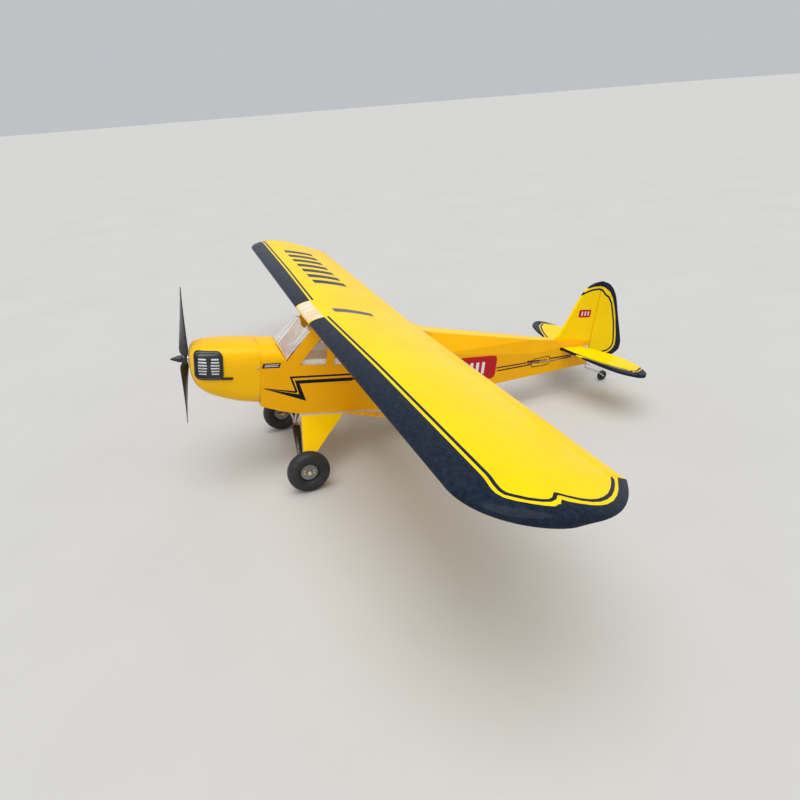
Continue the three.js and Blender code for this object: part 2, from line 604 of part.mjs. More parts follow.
function fin() {
  const edge = smooth(FIN_LE, 16).filter(([y]) => y < RUDDER_HINGE - halfT - HINGE_GAP);
  const rear = RUDDER_HINGE - halfT - HINGE_GAP;
  const foot = (y) => deckZ(y) + GAP + 0.4;
  const above = edge.filter(([y, z]) => z > foot(y));
  return prism([...above, [rear, 400.5], [rear, foot(rear)], [730, foot(730)]], 'x', -halfT, halfT);
}
function rudder() {
  const h = RUDDER_HINGE;
  const te = smooth(RUDDER_TE, 22).filter(([y]) => y >= h);
  const plate = prism([[h, RUDDER_FOOT], ...te.reverse()], 'x', -halfT, halfT);
  const nose = bar(v3(0, h, RUDDER_FOOT), v3(0, h, 400.8), halfT, halfT, 12);
  const tip = -TAIL_ARM - 3;
  const hornOutline = [[0, h - 3], [0, h + 9], [tip, h + 3], [tip, h - 3]];
  const horn = prism(hornOutline, 'z', RUDDER_HORN_Z, RUDDER_HORN_Z + 1.6);
  return join(plate, nose, horn);
}
piece('stabiliser', stabiliser(), YELLOW);
piece('elevator', elevator(), YELLOW);
piece('fin', fin(), YELLOW);
piece('rudder', rudder(), YELLOW);

// ---- tail linkages ----
const TRAY_TOP = 153;
const elevatorPivot = { x: 5.4, y: 151, z: TRAY_TOP + GAP + 10 };
const rodDrop = { y: ELEVATOR_HINGE, z: TAIL_Z - TAIL_ARM };
function elevatorRod() {
  const x = HORN_X + 2.9;
  const start = v3(elevatorPivot.x + 2.9, elevatorPivot.y + 6, elevatorPivot.z - TAIL_ARM);
  const end = v3(x, rodDrop.y + 3, rodDrop.z);
  const pin = bar(v3(HORN_X + 1.3, rodDrop.y, rodDrop.z), v3(x, rodDrop.y, rodDrop.z), 1.2, 1.2, 8);
  return join(bar(start, end, 1.1, 1.1, 8), pin);
}
piece('elevator_servo', box(-34, 3, 132, 172, TRAY_TOP + GAP, TRAY_TOP + GAP + 20), SERVO);
piece('elevator_servo_arm', servoArm(elevatorPivot.x, elevatorPivot.y, elevatorPivot.z, TAIL_ARM, 1), NYLON);
piece('elevator_pushrod', elevatorRod(), METAL);

const rudderPivot = { x: -20, y: 190, z: 176 };
const RUDDER_ROD_Z = RUDDER_HORN_Z + 3.6;
function rudderArm() {
  const { x, y, z } = rudderPivot;
  const arm = bar(v3(x, y, z), v3(x - TAIL_ARM, y, z), 3.2, 2.2, 10, 0.35, v3(0, 1, 0));
  return join(arm, bar(v3(x, y, z - 1.6), v3(x, y, z + 1.1), 3.4, 3.4, 12));
}
function rudderRod() {
  const start = v3(rudderPivot.x - TAIL_ARM, rudderPivot.y + 6, rudderPivot.z + 2.4);
  const end = v3(-TAIL_ARM, RUDDER_HINGE + 3, RUDDER_ROD_Z);
  const pinAt = (z) => v3(-TAIL_ARM, RUDDER_HINGE, z);
  const pin = bar(pinAt(RUDDER_HORN_Z + 1.6 + GAP), pinAt(RUDDER_ROD_Z), 1.2, 1.2, 8);
  return join(bar(start, end, 1.1, 1.1, 8), pin);
}
piece('rudder_servo', box(-30, -10, 180, 220, 136, 173.8), SERVO);
piece('rudder_servo_arm', rudderArm(), NYLON);
piece('rudder_pushrod', rudderRod(), METAL);

// ---- tail wheel ----
const BRACKET_Z = 158;
function tailBracket() {
  const [front, bend, rear, thick] = [785, 842, 866, 2.4];
  const top = [[front, bellyZ(front) - GAP], [bend, bellyZ(bend) - GAP], [rear, BRACKET_Z]];
  const under = top.map(([y, z]) => [y, z - thick]).reverse();
  const strap = prism([...top, ...under], 'x', -6, 6);
  const bore = bar(v3(0, RUDDER_HINGE, 140), v3(0, RUDDER_HINGE, 180), 2.6, 2.6, 16, 1, v3(0, 1, 0));
  return cut(strap, bore);
}
function tailLeg() {
  const r = 1.9;
  const side = TAIL_TYRE.width / 2 + 2.2;
  const knee = v3(0, RUDDER_HINGE, 148);
  const ankle = v3(side, 900, 133);
  const wheel = (x) => v3(x, TAIL_TYRE.y, TAIL_TYRE.z);
  const top = bar(v3(0, RUDDER_HINGE, RUDDER_FOOT - 0.4), knee, r);
  const crank = bar(knee, ankle, r);
  const drop = bar(ankle, wheel(side), r);
  const axle = bar(wheel(side + 1.5), wheel(-side), 1.5);
  const balls = [knee, ankle].map((c) => new THREE.SphereGeometry(r * 1.15, 10, 6).translate(c.x, c.y, c.z));
  return join(top, crank, drop, axle, ...balls);
}
piece('tail_wheel_bracket', tailBracket(), METAL);
piece('tail_wheel_leg', tailLeg(), METAL);
const tread = [[-4.5, 11], [-2.8, 14.4], [0, TAIL_TYRE.radius], [2.8, 14.4], [4.5, 11]];
const tailSection = [[-4.5, 2], ...tread, [4.5, 2], [-4.5, 2]];
const tailWheel = piece('tail_wheel', turned(tailSection, 'x', 24), RUBBER, 0, TAIL_TYRE.y, TAIL_TYRE.z);
tailWheel.rotation.x = PITCH;

const group = new THREE.Group();
group.add(aeroplane);
export default group;
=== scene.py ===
import math

import bmesh
import bpy
from mathutils import Matrix, Vector
from mathutils.geometry import tessellate_polygon

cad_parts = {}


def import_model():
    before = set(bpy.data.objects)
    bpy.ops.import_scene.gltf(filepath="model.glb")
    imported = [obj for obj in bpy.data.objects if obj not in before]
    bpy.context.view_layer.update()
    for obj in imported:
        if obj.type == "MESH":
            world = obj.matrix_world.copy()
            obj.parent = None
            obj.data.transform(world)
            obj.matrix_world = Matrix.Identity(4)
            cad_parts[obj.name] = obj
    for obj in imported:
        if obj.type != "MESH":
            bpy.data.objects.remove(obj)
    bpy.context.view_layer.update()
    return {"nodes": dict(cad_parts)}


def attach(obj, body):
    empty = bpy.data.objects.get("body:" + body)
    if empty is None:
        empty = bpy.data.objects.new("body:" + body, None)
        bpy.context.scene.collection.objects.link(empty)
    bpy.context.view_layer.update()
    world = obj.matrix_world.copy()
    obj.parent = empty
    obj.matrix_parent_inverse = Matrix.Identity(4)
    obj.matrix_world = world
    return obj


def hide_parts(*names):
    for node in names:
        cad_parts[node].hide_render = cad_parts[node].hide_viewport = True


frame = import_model()

# ---- driving dimensions ----
PITCH = math.radians(9.5)
ORIGIN_SHIFT = -373
TYRE_RADIUS = 49.3
TYRE_WIDTH = 31.7
TYRE_RIM = 20
WHEEL_TRACK = 163.3  # middle of the aeroplane to the middle of a main wheel

HALF_SPAN = 893
CHORD = 262
WING_LE = (14, 317)
WING_DROP = 14
DIHEDRAL = math.radians(0.9)
CAMBER = 0.045
THICKNESS = 0.105
TIP_LE_START = 782
TIP_TE_START = 803
TIP_POINT = 111
TIP_LIFT = 5
AILERON = (190, 801.5)
AILERON_CHORD = 28
AILERON_RADIUS = 3.8
HINGE_GAP = 1.2
SERVO_X = 500

THRUST = Vector((0, -248.6, 224.4))
PROP_RADIUS = 164
PROP_TURN = math.radians(4.5)
PROP_PITCH = 150

NOSE = -92
STERN = 846
CABIN_HALF = 62
TAPER_START = 245
STERN_HALF = 6.5
SKIN = 2.5
DECK_SIDE = 228
DECK_CROWN = 35

TAIL_Z = 213
TAIL_HALF = 4
ELEVATOR_HINGE = 830
RUDDER_HINGE = 853


def world(p):
    x, y, z = p
    cos, sin = math.cos(PITCH), math.sin(PITCH)
    return Vector((x, y * cos + z * sin + ORIGIN_SHIFT, -y * sin + z * cos + TYRE_RADIUS)) / 1000


def own(v):
    """The point of world(), back in the aeroplane's axes."""
    x, y, z = v.x * 1000, v.y * 1000 - ORIGIN_SHIFT, v.z * 1000 - TYRE_RADIUS
    cos, sin = math.cos(PITCH), math.sin(PITCH)
    return Vector((x, y * cos - z * sin, y * sin + z * cos))


def along(stations, y):
    for (y0, v0), (y1, v1) in zip(stations, stations[1:]):
        if y <= y1:
            break
    return v0 + (v1 - v0) * (y - y0) / (y1 - y0)


# ---- materials ----
class Look:
    """A material whose nodes are added one line at a time."""

    def __init__(self, name):
        self.made = bpy.data.materials.new(name)
        self.made.use_nodes = True
        self.tree = self.made.node_tree
        self.shader = next(n for n in self.tree.nodes if n.type == "BSDF_PRINCIPLED")
        coordinates = self.tree.nodes.new("ShaderNodeTexCoord")
        self.at = coordinates.outputs["Object"]

    def put(self, socket, value):
        if hasattr(value, "is_linked"):
            self.tree.links.new(value, socket)
        else:
            socket.default_value = value

    def node(self, kind, inputs, **facts):
        made = self.tree.nodes.new(kind)
        for key, value in facts.items():
            setattr(made, key, value)
        for key, value in inputs.items():
            self.put(made.inputs[key], value)
        return made

    def noise(self, scale, detail=3, rough=0.5, distort=0.0, at=None):
        inputs = {"Vector": at or self.at, "Scale": scale, "Detail": detail}
        inputs.update({"Roughness": rough, "Distortion": distort})
        return self.node("ShaderNodeTexNoise", inputs).outputs[0]

    def stretched(self, x, y, z):
        return self.node("ShaderNodeMapping", {"Vector": self.at, "Scale": (x, y, z)}).outputs[0]

    def range(self, value, low, high, to_low=0.0, to_high=1.0):
        inputs = {"Value": value, "From Min": low, "From Max": high, "To Min": to_low, "To Max": to_high}
        return self.node("ShaderNodeMapRange", inputs).outputs[0]

    def math(self, kind, a, b=0.0):
        return self.node("ShaderNodeMath", {0: a, 1: b}, operation=kind).outputs[0]

    def mix(self, share, a, b):
        made = self.node("ShaderNodeMix", {"Factor": share}, data_type="RGBA")
        self.put(made.inputs["A"], a)
        self.put(made.inputs["B"], b)
        return made.outputs["Result"]

    def attribute(self, name):
        return self.node("ShaderNodeAttribute", {}, attribute_name=name).outputs["Fac"]

    def bump(self, height, strength, distance, below=None):
        inputs = {"Height": height, "Strength": strength, "Distance": distance}
        if below:
            inputs["Normal"] = below
        return self.node("ShaderNodeBump", inputs).outputs[0]

    def set(self, **values):
        for key, value in values.items():
            self.put(self.shader.inputs[key.replace("_", " ")], value)


WING_YELLOW = (0.97, 0.68, 0.002, 1)
# Painted shade: the same yellow film as the tops, made darker and more orange for the sides and underside
# that face away from the light.
SHADED_SIDE_YELLOW = (0.93, 0.46, 0.001, 1)
# The blue tint in this black is a painted reflection of the sky.
SKY_TINTED_TRIM_BLACK = (0.006, 0.009, 0.016, 1)
RED = (0.50, 0.012, 0.014, 1)
WHITE = (0.82, 0.82, 0.80, 1)


def film_bump(look, strength=1.0):
    """Covering film: broad soft waviness, and a few tight wrinkles where it did not shrink evenly."""
    broad = look.noise(9, 2, 0.45)
    tight = look.noise(60, 3, 0.5, 0.8, look.stretched(1, 1, 0.35))
    patches = look.range(look.noise(5, 1), 0.52, 0.7)
    wrinkles = look.math("MULTIPLY", tight, patches)
    first = look.bump(broad, 0.35 * strength, 0.004)
    return look.bump(wrinkles, 0.22 * strength, 0.001, first)


def film_tone(look, base):
    deeper = (base[0] * 0.95, base[1] * 0.90, base[2], 1)
    return look.mix(look.range(look.noise(6, 4, 0.6), 0.35, 0.7), base, deeper)


def film(name, base, strength=1.0):
    look = Look(name)
    dust = look.range(look.noise(35, 5, 0.65), 0.3, 0.8)
    look.set(Base_Color=film_tone(look, base))
    look.set(Roughness=look.range(dust, 0, 1, 0.20, 0.34), Normal=film_bump(look, strength))
    look.set(Specular_IOR_Level=0.14)
    return look.made


def wing_film():
    """Yellow film with the black leading-edge band and pinstripe, at distances kept on the mesh."""
    look = Look("wing_film")
    edge = look.attribute("band_edge")
    stripe = look.attribute("pinstripe")
    band = look.range(edge, 1.95, 2.25)
    line = look.range(look.math("ABSOLUTE", stripe), 2.75, 2.45)
    black = look.math("MAXIMUM", band, line)
    # The black band and pinstripe are painted between two blue-tinted blacks: a painted sky reflection,
    # lighter in noisy patches of painted sheen.
    sky_sheen_specks = look.range(look.noise(120, 4, 0.6), 0.35, 0.8)
    sky_tinted_black = look.mix(sky_sheen_specks, (0.008, 0.013, 0.024, 1), (0.018, 0.029, 0.052, 1))
    look.set(Base_Color=look.mix(black, film_tone(look, WING_YELLOW), sky_tinted_black))
    look.set(Roughness=look.range(black, 0, 1, 0.26, 0.17), Normal=film_bump(look))
    look.set(Specular_IOR_Level=0.07)
    return look.made


def paint(name, base, rough=0.3, coat=0.3, grain=120):
    look = Look(name)
    fine = look.noise(grain, 4, 0.6)
    worn = tuple(c * 0.92 for c in base[:3]) + (1,)
    look.set(Base_Color=look.mix(look.range(look.noise(9, 3, 0.5), 0.35, 0.75), base, worn))
    look.set(Roughness=look.range(fine, 0.3, 0.7, rough * 0.85, rough * 1.25))
    look.set(Normal=look.bump(fine, 0.06, 0.0002), Coat_Weight=coat, Coat_Roughness=0.1)
    look.set(Specular_IOR_Level=0.14)
    return look.made


def moulding(name, base, rough=0.35, grain=600, depth=0.0002):
    look = Look(name)
    fine = look.noise(grain, 3, 0.6)
    light = tuple(min(1, c * 1.5 + 0.006) for c in base[:3]) + (1,)
    look.set(Base_Color=look.mix(look.range(look.noise(25, 4, 0.65), 0.4, 0.8), base, light))
    look.set(Roughness=look.range(fine, 0.25, 0.75, rough * 0.8, rough * 1.2))
    look.set(Normal=look.bump(fine, 0.25, depth))
    return look.made


def foam_rubber():
    look = Look("foam_rubber")
    pores = look.noise(900, 2, 0.6)
    scuff = look.range(look.noise(30, 5, 0.7), 0.45, 0.85)
    look.set(Base_Color=look.mix(scuff, (0.010, 0.011, 0.013, 1), (0.045, 0.046, 0.048, 1)))
    look.set(Roughness=look.range(pores, 0.3, 0.7, 0.5, 0.7), Normal=look.bump(pores, 0.3, 0.0002))
    return look.made


def metal(name, base, rough=0.3, scale=80):
    look = Look(name)
    brushed = look.noise(scale, 4, 0.6, 0, look.stretched(1, 12, 12))
    dull = tuple(c * 0.7 for c in base[:3]) + (1,)
    look.set(Base_Color=look.mix(look.range(brushed, 0.4, 0.75), base, dull), Metallic=1.0)
    look.set(Roughness=look.range(brushed, 0.3, 0.7, rough * 0.8, rough * 1.3))
    look.set(Normal=look.bump(brushed, 0.1, 0.0002))
    return look.made


def plywood():
    look = Look("plywood")
    grain = look.noise(30, 5, 0.6, 0.6, look.stretched(1, 0.12, 2))
    fibres = look.noise(250, 3, 0.6, 0, look.stretched(1, 0.06, 1))
    tone = look.mix(look.range(grain, 0.3, 0.7), (0.60, 0.40, 0.21, 1), (0.36, 0.21, 0.10, 1))
    look.set(Base_Color=look.mix(look.range(fibres, 0.45, 0.8), tone, (0.28, 0.15, 0.07, 1)))
    look.set(Roughness=look.range(fibres, 0.3, 0.7, 0.6, 0.75), Normal=look.bump(fibres, 0.3, 0.0004))
    return look.made


def clear_sheet(name, tint, rough=0.04, alpha=0.2):
    """Thin formed sheet: mostly see-through, with whitish streaks of painted reflection and a glossy surface.
    """
    look = Look(name)
    reflection_streaks = look.noise(40, 4, 0.6, 1.2, look.stretched(1, 0.3, 0.5))
    # Painted reflection: near-white, more opaque streaks stand in for the sky reflected in the sheet.
    look.set(Base_Color=look.mix(look.range(reflection_streaks, 0.4, 0.8), tint, (0.95, 0.95, 0.94, 1)))
    look.set(Roughness=look.range(reflection_streaks, 0.3, 0.8, rough, rough + 0.1))
    look.set(Alpha=look.range(reflection_streaks, 0.35, 0.75, alpha, alpha + 0.14))
    look.set(Normal=look.bump(look.noise(7, 2), 0.2, 0.003))
    return look.made


# Painted shade: this darker, more orange copy of the yellow film covers mostly the sides, belly, struts and
# other pieces facing away from the light.
SHADED_SIDE_FILM = film("yellow_film", SHADED_SIDE_YELLOW)
WING_FILM = wing_film()
TRIM = film("black_trim_film", SKY_TINTED_TRIM_BLACK, 0.5)
RED_FILM = film("red_panel_film", RED, 0.4)
TOP_FILM = film("yellow_top_film", (0.97, 0.64, 0.001, 1))
DECK_FILM = film("yellow_deck_film", (0.95, 0.53, 0.001, 1))
WHITE_FILM = film("white_panel_film", WHITE, 0.4)
COWL_PAINT = paint("yellow_moulding", (0.95, 0.52, 0.001, 1), 0.24, 0.06)
LEG_PAINT = paint("yellow_leg_paint", (0.95, 0.60, 0.002, 1), 0.3, 0.05)
GLOSS_BLACK = moulding("gloss_black_moulding", (0.010, 0.011, 0.012, 1), 0.16, 200, 0.0001)
PROP_BLACK = moulding("black_propeller_nylon", (0.014, 0.015, 0.016, 1), 0.3, 500)
HEAD_GREY = moulding("pale_grey_moulding", (0.50, 0.51, 0.52, 1), 0.4)
SERVO_CASE = moulding("servo_case_moulding", (0.020, 0.024, 0.034, 1), 0.42)
NYLON = moulding("white_nylon", (0.80, 0.79, 0.75, 1), 0.42)
HUB_GREY = moulding("grey_hub_moulding", (0.20, 0.20, 0.205, 1), 0.42)
GOLD = moulding("gold_hub_inlay", (0.72, 0.44, 0.05, 1), 0.3)
RUBBER = foam_rubber()
STEEL = metal("plated_steel", (0.62, 0.62, 0.63, 1), 0.28)
ALLOY = metal("turned_alloy", (0.78, 0.78, 0.79, 1), 0.24)
COPPER = metal("copper_spring", (0.75, 0.30, 0.09, 1), 0.3)
WOOD = plywood()
CLEAR = clear_sheet("clear_windscreen_sheet", (0.86, 0.89, 0.92, 1))
WINDOW = clear_sheet("clear_window_sheet", (0.80, 0.80, 0.80, 1), 0.05, 0.12)
CREAM = clear_sheet("cream_cap_sheet", (0.93, 0.72, 0.40, 1), 0.12, 0.78)
SMOKE = paint("grey_skylight_sheet", (0.13, 0.12, 0.13, 1), 0.35, 0.0)
CABIN_WHITE = moulding("white_cabin_panel", (0.78, 0.76, 0.72, 1), 0.5)


SLOTS = {
    "yellow_film": (SHADED_SIDE_FILM, TOP_FILM, DECK_FILM, WING_FILM),
    "yellow_plastic": (COWL_PAINT,),
    "black_plastic": (GLOSS_BLACK,),
    "prop_black": (PROP_BLACK,),
    "clear_plastic": (CLEAR, CREAM, SMOKE),
    "hub_grey": (HUB_GREY,),
    "rubber": (RUBBER,),
    "bare_metal": (STEEL,),
    "motor_alloy": (ALLOY,),
    "copper_spring": (COPPER,),
    "plywood": (WOOD,),
}


# ---- mesh building ----
END_SHRINK = 0.82  # the very end of a bar is this much narrower, as a small rounding
END_ROUND = 0.6  # length of that rounding, in radii
END_SHARE = 0.08  # and at most this share of the bar


class Shape:
    """Points and faces in the aeroplane's axes, with a material number on each face."""

    def __init__(self):
        self.points = []
        self.faces = []
        self.looks = []

    def add(self, points, faces, look=0):
        start = len(self.points)
        self.points += [Vector(p) for p in points]
        self.faces += [tuple(start + i for i in f) for f in faces]
        self.looks += [look] * len(faces)
        return self

    def loft(self, rings, look=0, closed=True, caps=True):
        n = len(rings[0])
        faces = []
        for i in range(len(rings) - 1):
            for j in range(n if closed else n - 1):
                k = (j + 1) % n
                faces.append((i * n + j, i * n + k, (i + 1) * n + k, (i + 1) * n + j))
        if caps:
            faces.append(tuple(reversed(range(n))))
            faces.append(tuple(range((len(rings) - 1) * n, len(rings) * n)))
        return self.add([p for ring in rings for p in ring], faces, look)

    def bar(self, a, b, ra, rb=None, sides=16, flat=1.0, wide=(0, 1, 0), look=0):
        a, b = Vector(a), Vector(b)
        rb = ra if rb is None else rb
        axis = (b - a).normalized()
        hint = Vector(wide)
        if abs(hint.dot(axis)) > 0.99:
            hint = Vector((1, 0, 0))
        u = (hint - axis * hint.dot(axis)).normalized()
        w = axis.cross(u)
        near, far = [min(END_SHARE, END_ROUND * r / (b - a).length) for r in (ra, rb)]
        rings = []
        for t, shrink in ((0, END_SHRINK), (near, 1), (1 - far, 1), (1, END_SHRINK)):
            r = (ra + (rb - ra) * t) * shrink
            turns = [2 * math.pi * i / sides for i in range(sides)]
            rings.append([a.lerp(b, t) + u * r * math.cos(q) + w * r * flat * math.sin(q) for q in turns])
        return self.loft(rings, look)

    def tube(self, path, radius, sides=10, look=0):
        path = [Vector(p) for p in path]
        normal = Vector((0.31, 0.57, 0.76))
        rings = []
        for i, p in enumerate(path):
            ahead = path[min(i + 1, len(path) - 1)] - path[max(i - 1, 0)]
            axis = ahead.normalized()
            normal = (normal - axis * normal.dot(axis)).normalized()
            w = axis.cross(normal)
            turns = [2 * math.pi * j / sides for j in range(sides)]
            rings.append([p + (normal * math.cos(q) + w * math.sin(q)) * radius for q in turns])
        return self.loft(rings, look)

    def turned(self, profile, centre, axis="x", sides=48, look=0):
        """profile is [(distance along the axis, radius)] of a closed section or from axis to axis."""
        centre = Vector(centre)
        rings = []
        for i in range(sides):
            q = 2 * math.pi * i / sides
            c, s = math.cos(q), math.sin(q)
            if axis == "x":
                rings.append([centre + Vector((a, r * c, r * s)) for a, r in profile])
            else:
                rings.append([centre + Vector((r * c, a, r * s)) for a, r in profile])
        ends = profile[0][1] < 1e-6
        return self.loft(rings + [rings[0]], look, closed=not ends, caps=False)

    def slab(self, outline, axis, low, high, look=0, holes=()):
        """Flat outline pushed from one depth to another along an axis, with holes."""
        loops = [list(outline)] + [list(h) for h in holes]
        flat = [Vector((a, b, 0)) for loop in loops for a, b in loop]
        triangles = tessellate_polygon([[Vector((a, b, 0)) for a, b in loop] for loop in loops])
        at = {"x": lambda a, b, d: (d, a, b), "y": lambda a, b, d: (a, d, b), "z": lambda a, b, d: (a, b, d)}
        place = at[axis]
        n = len(flat)
        points = [place(p.x, p.y, low) for p in flat] + [place(p.x, p.y, high) for p in flat]
        faces = [tuple(t) for t in triangles] + [tuple(n + i for i in reversed(t)) for t in triangles]
        self.add(points, faces, look)
        walls = []
        start = 0
        for loop in loops:
            m = len(loop)
            for i in range(m):
                a, b = start + i, start + (i + 1) % m
                walls.append((a, b, n + b, n + a))
            start += m
        return self.add(points, walls, look)

    def box(self, x0, x1, y0, y1, z0, z1, look=0):
        return self.slab([(x0, y0), (x1, y0), (x1, y1), (x0, y1)], "z", z0, z1, look)

    def map(self, change):
        self.points = [Vector(change(p)) for p in self.points]
        return self

    def mirrored(self):
        made = Shape()
        made.points = [Vector((-p.x, p.y, p.z)) for p in self.points]
        made.faces = [tuple(reversed(f)) for f in self.faces]
        made.looks = list(self.looks)
        return made


def build(name, shape, looks, body, nodes=(), bevel=0.0, angle=32, weld=0.001):
    """One Blender piece from a shape, riding on a CAD body and standing for the CAD nodes named."""
    mesh = bpy.data.meshes.new(name)
    mesh.from_pydata([world(p) for p in shape.points], [], shape.faces)
    mesh.polygons.foreach_set("material_index", shape.looks)
    work = bmesh.new()
    work.from_mesh(mesh)
    bmesh.ops.remove_doubles(work, verts=work.verts, dist=weld / 1000)
    bmesh.ops.recalc_face_normals(work, faces=work.faces)
    work.to_mesh(mesh)
    work.free()
    for look in looks if isinstance(looks, (list, tuple)) else [looks]:
        mesh.materials.append(look)
    mesh.polygons.foreach_set("use_smooth", [True] * len(mesh.polygons))
    mesh.set_sharp_from_angle(angle=math.radians(angle))
    made = bpy.data.objects.new(name, mesh)
    bpy.context.scene.collection.objects.link(made)
    if bevel:
        round_edges = made.modifiers.new("round_edges", "BEVEL")
        round_edges.width = bevel / 1000
        round_edges.segments = 2
        round_edges.limit_method = "ANGLE"
        round_edges.angle_limit = math.radians(angle)
        round_edges.harden_normals = False
    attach(made, body)
    if nodes:
        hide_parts(*([nodes] if isinstance(nodes, str) else nodes))
    for slot, finishes in SLOTS.items():
        mesh.materials[0] in finishes
    return made


def build_pair(name, shape, looks, body="airframe", nodes=None, **facts):
    """The same shape to port and, mirrored, to starboard. A {} in a name stands for the side."""
    for side, made in (("port", shape), ("starboard", shape.mirrored())):
        taken = [n.format(side) for n in nodes] if nodes else ()
        build(name.format(side), made, looks, body.format(side), taken, **facts)


# ---- wing ----
def upper_half(s):
    return 5 * THICKNESS * (0.2969 * math.sqrt(s) - 0.126 * s - 0.3516 * s**2 + 0.2843 * s**3 - 0.1015 * s**4)


def camber_at(s):
    crest = 0.4
    rise = 2 * crest * s - s * s
    return CAMBER / crest**2 * rise if s < crest else CAMBER / (1 - crest) ** 2 * (1 - 2 * crest + rise)


def wing_chord(x):
    te = WING_LE[0] + CHORD
    tip = WING_LE[0] + TIP_POINT
    a = min(1, max(0, (x - TIP_LE_START) / (HALF_SPAN - TIP_LE_START)))
    b = min(1, max(0, (x - TIP_TE_START) / (HALF_SPAN - TIP_TE_START)))
    front = WING_LE[0] + TIP_POINT * (1 - math.sqrt(1 - a * a))
    return front, te - (te - tip) * (1 - (1 - b) ** 0.4)


def chord_line(y):
    return WING_LE[1] - WING_DROP * (y - WING_LE[0]) / CHORD


def wing_rise(x):
    return x * math.tan(DIHEDRAL) + TIP_LIFT * max(0, (x - TIP_LE_START) / (HALF_SPAN - TIP_LE_START)) ** 2


def wing_point(x, y, side, lift=0.0):
    """Point on the top (side 1) or the underside (side -1) of the wing, lift proud of it."""
    front, rear = wing_chord(abs(x))
    c = max(rear - front, 0.5)
    s = min(max((y - front) / c, 0), 1)
    half = upper_half(s) * math.sqrt(c * CHORD) + 0.4 + lift
    return Vector((x, y, chord_line(y) + wing_rise(abs(x)) + camber_at(s) * c + side * half))


HINGE_Y = WING_LE[0] + CHORD - AILERON_CHORD
HINGE_Z = chord_line(HINGE_Y) + camber_at(1 - AILERON_CHORD / CHORD) * CHORD + 0.3

# Middle lines of the yellow gap and of the black pinstripe behind the leading-edge band.
GAP_LINE = [(66, 49.5), (200, 52), (400, 55), (640, 56), (800, 56.5), (822, 54.5), (832, 55.5), (842, 60)]
GAP_LINE += [(852, 70), (862, 84), (869, 97), (872, 106), (870, 114), (861, 122), (866, 130), (870, 145)]
GAP_LINE += [(871, 160), (870, 173), (866, 187), (858, 203), (845, 220), (830, 235), (815, 247), (803, 257)]
STRIPE_LINE = [(66, 55), (200, 57), (400, 60.5), (640, 61.5), (800, 61.8), (818, 60), (830, 60.3), (838, 63)]
STRIPE_LINE += [(845, 70), (855, 82), (862, 96), (864, 106), (861, 114), (852, 122), (859, 135), (864, 150)]
STRIPE_LINE += [(865, 165), (863, 178), (857, 193), (848, 208), (835, 223), (820, 237), (808, 246)]
CAP_HALF = 70


def distance_to(line, x, y):
    """Signed distance to a line of points; positive on its outboard side."""
    best = (1e9, 1)
    for (x0, y0), (x1, y1) in zip(line, line[1:]):
        dx, dy = x1 - x0, y1 - y0
        t = min(1, max(0, ((x - x0) * dx + (y - y0) * dy) / max(dx * dx + dy * dy, 1e-9)))
        away = math.hypot(x - x0 - t * dx, y - y0 - t * dy)
        if away < best[0] - 1e-9:
            side = 1 if (x - x0) * dy - (y - y0) * dx > 0 else -1
            best = (away, side)
    return best[0] * best[1]


def wing_stations():
    inner = [0, 20, 40, 60, CAP_HALF - 0.4, CAP_HALF + 0.4] + [90 + 25 * i for i in range(4)]
    bay = [AILERON[0] - HINGE_GAP - 0.02, AILERON[0] - HINGE_GAP] + [210 + 25 * i for i in range(23)]
    bay += [775 + 4.5 * i for i in range(6)] + [AILERON[1] + HINGE_GAP, AILERON[1] + HINGE_GAP + 0.02]
    reach = HALF_SPAN - 0.9 - TIP_TE_START
    tip = [TIP_TE_START + 0.3 + reach * math.sin(math.pi / 2 * i / 42) for i in range(1, 43)]
    return inner + bay + tip


def in_bay(x):
    return AILERON[0] - HINGE_GAP - 0.01 < x < AILERON[1] + HINGE_GAP + 0.01


def wing_ring(x, count=68, rear_steps=9):
    """Section of the wing, with the same rows ahead of the aileron bay inside and outside it."""
    front, rear = wing_chord(x)
    bay_front = HINGE_Y - AILERON_RADIUS - HINGE_GAP
    knee = front + (rear - front) * (bay_front - WING_LE[0]) / CHORD
    end = knee if in_bay(x) else rear
    steps = [(1 - math.cos(math.pi * i / count)) / 2 for i in range(count + 1)]
    if rear - front > 150:
        steps = [i / count * 0.35 + 0.65 * s for i, s in enumerate(steps)]
        steps = [s * s * 0.4 + s * 0.6 for s in steps]
    ys = [front + (knee - front) * s for s in steps]
    ys += [knee + (end - knee) * k / rear_steps for k in range(1, rear_steps + 1)]
    top = [wing_point(x, y, 1) for y in ys]
    bottom = [wing_point(x, y, -1) for y in reversed(ys)]
    return top + bottom


def mark_trim(made, band_at, stripe_at):
    """Keeps on each point how far outside the gap it is, and how far from the middle of the pinstripe."""
    mesh = made.data
    band = mesh.attributes.new("band_edge", "FLOAT", "POINT")
    line = mesh.attributes.new("pinstripe", "FLOAT", "POINT")
    for v in mesh.vertices:
        p = own(v.co)
        band.data[v.index].value = band_at(p)
        line.data[v.index].value = stripe_at(p)


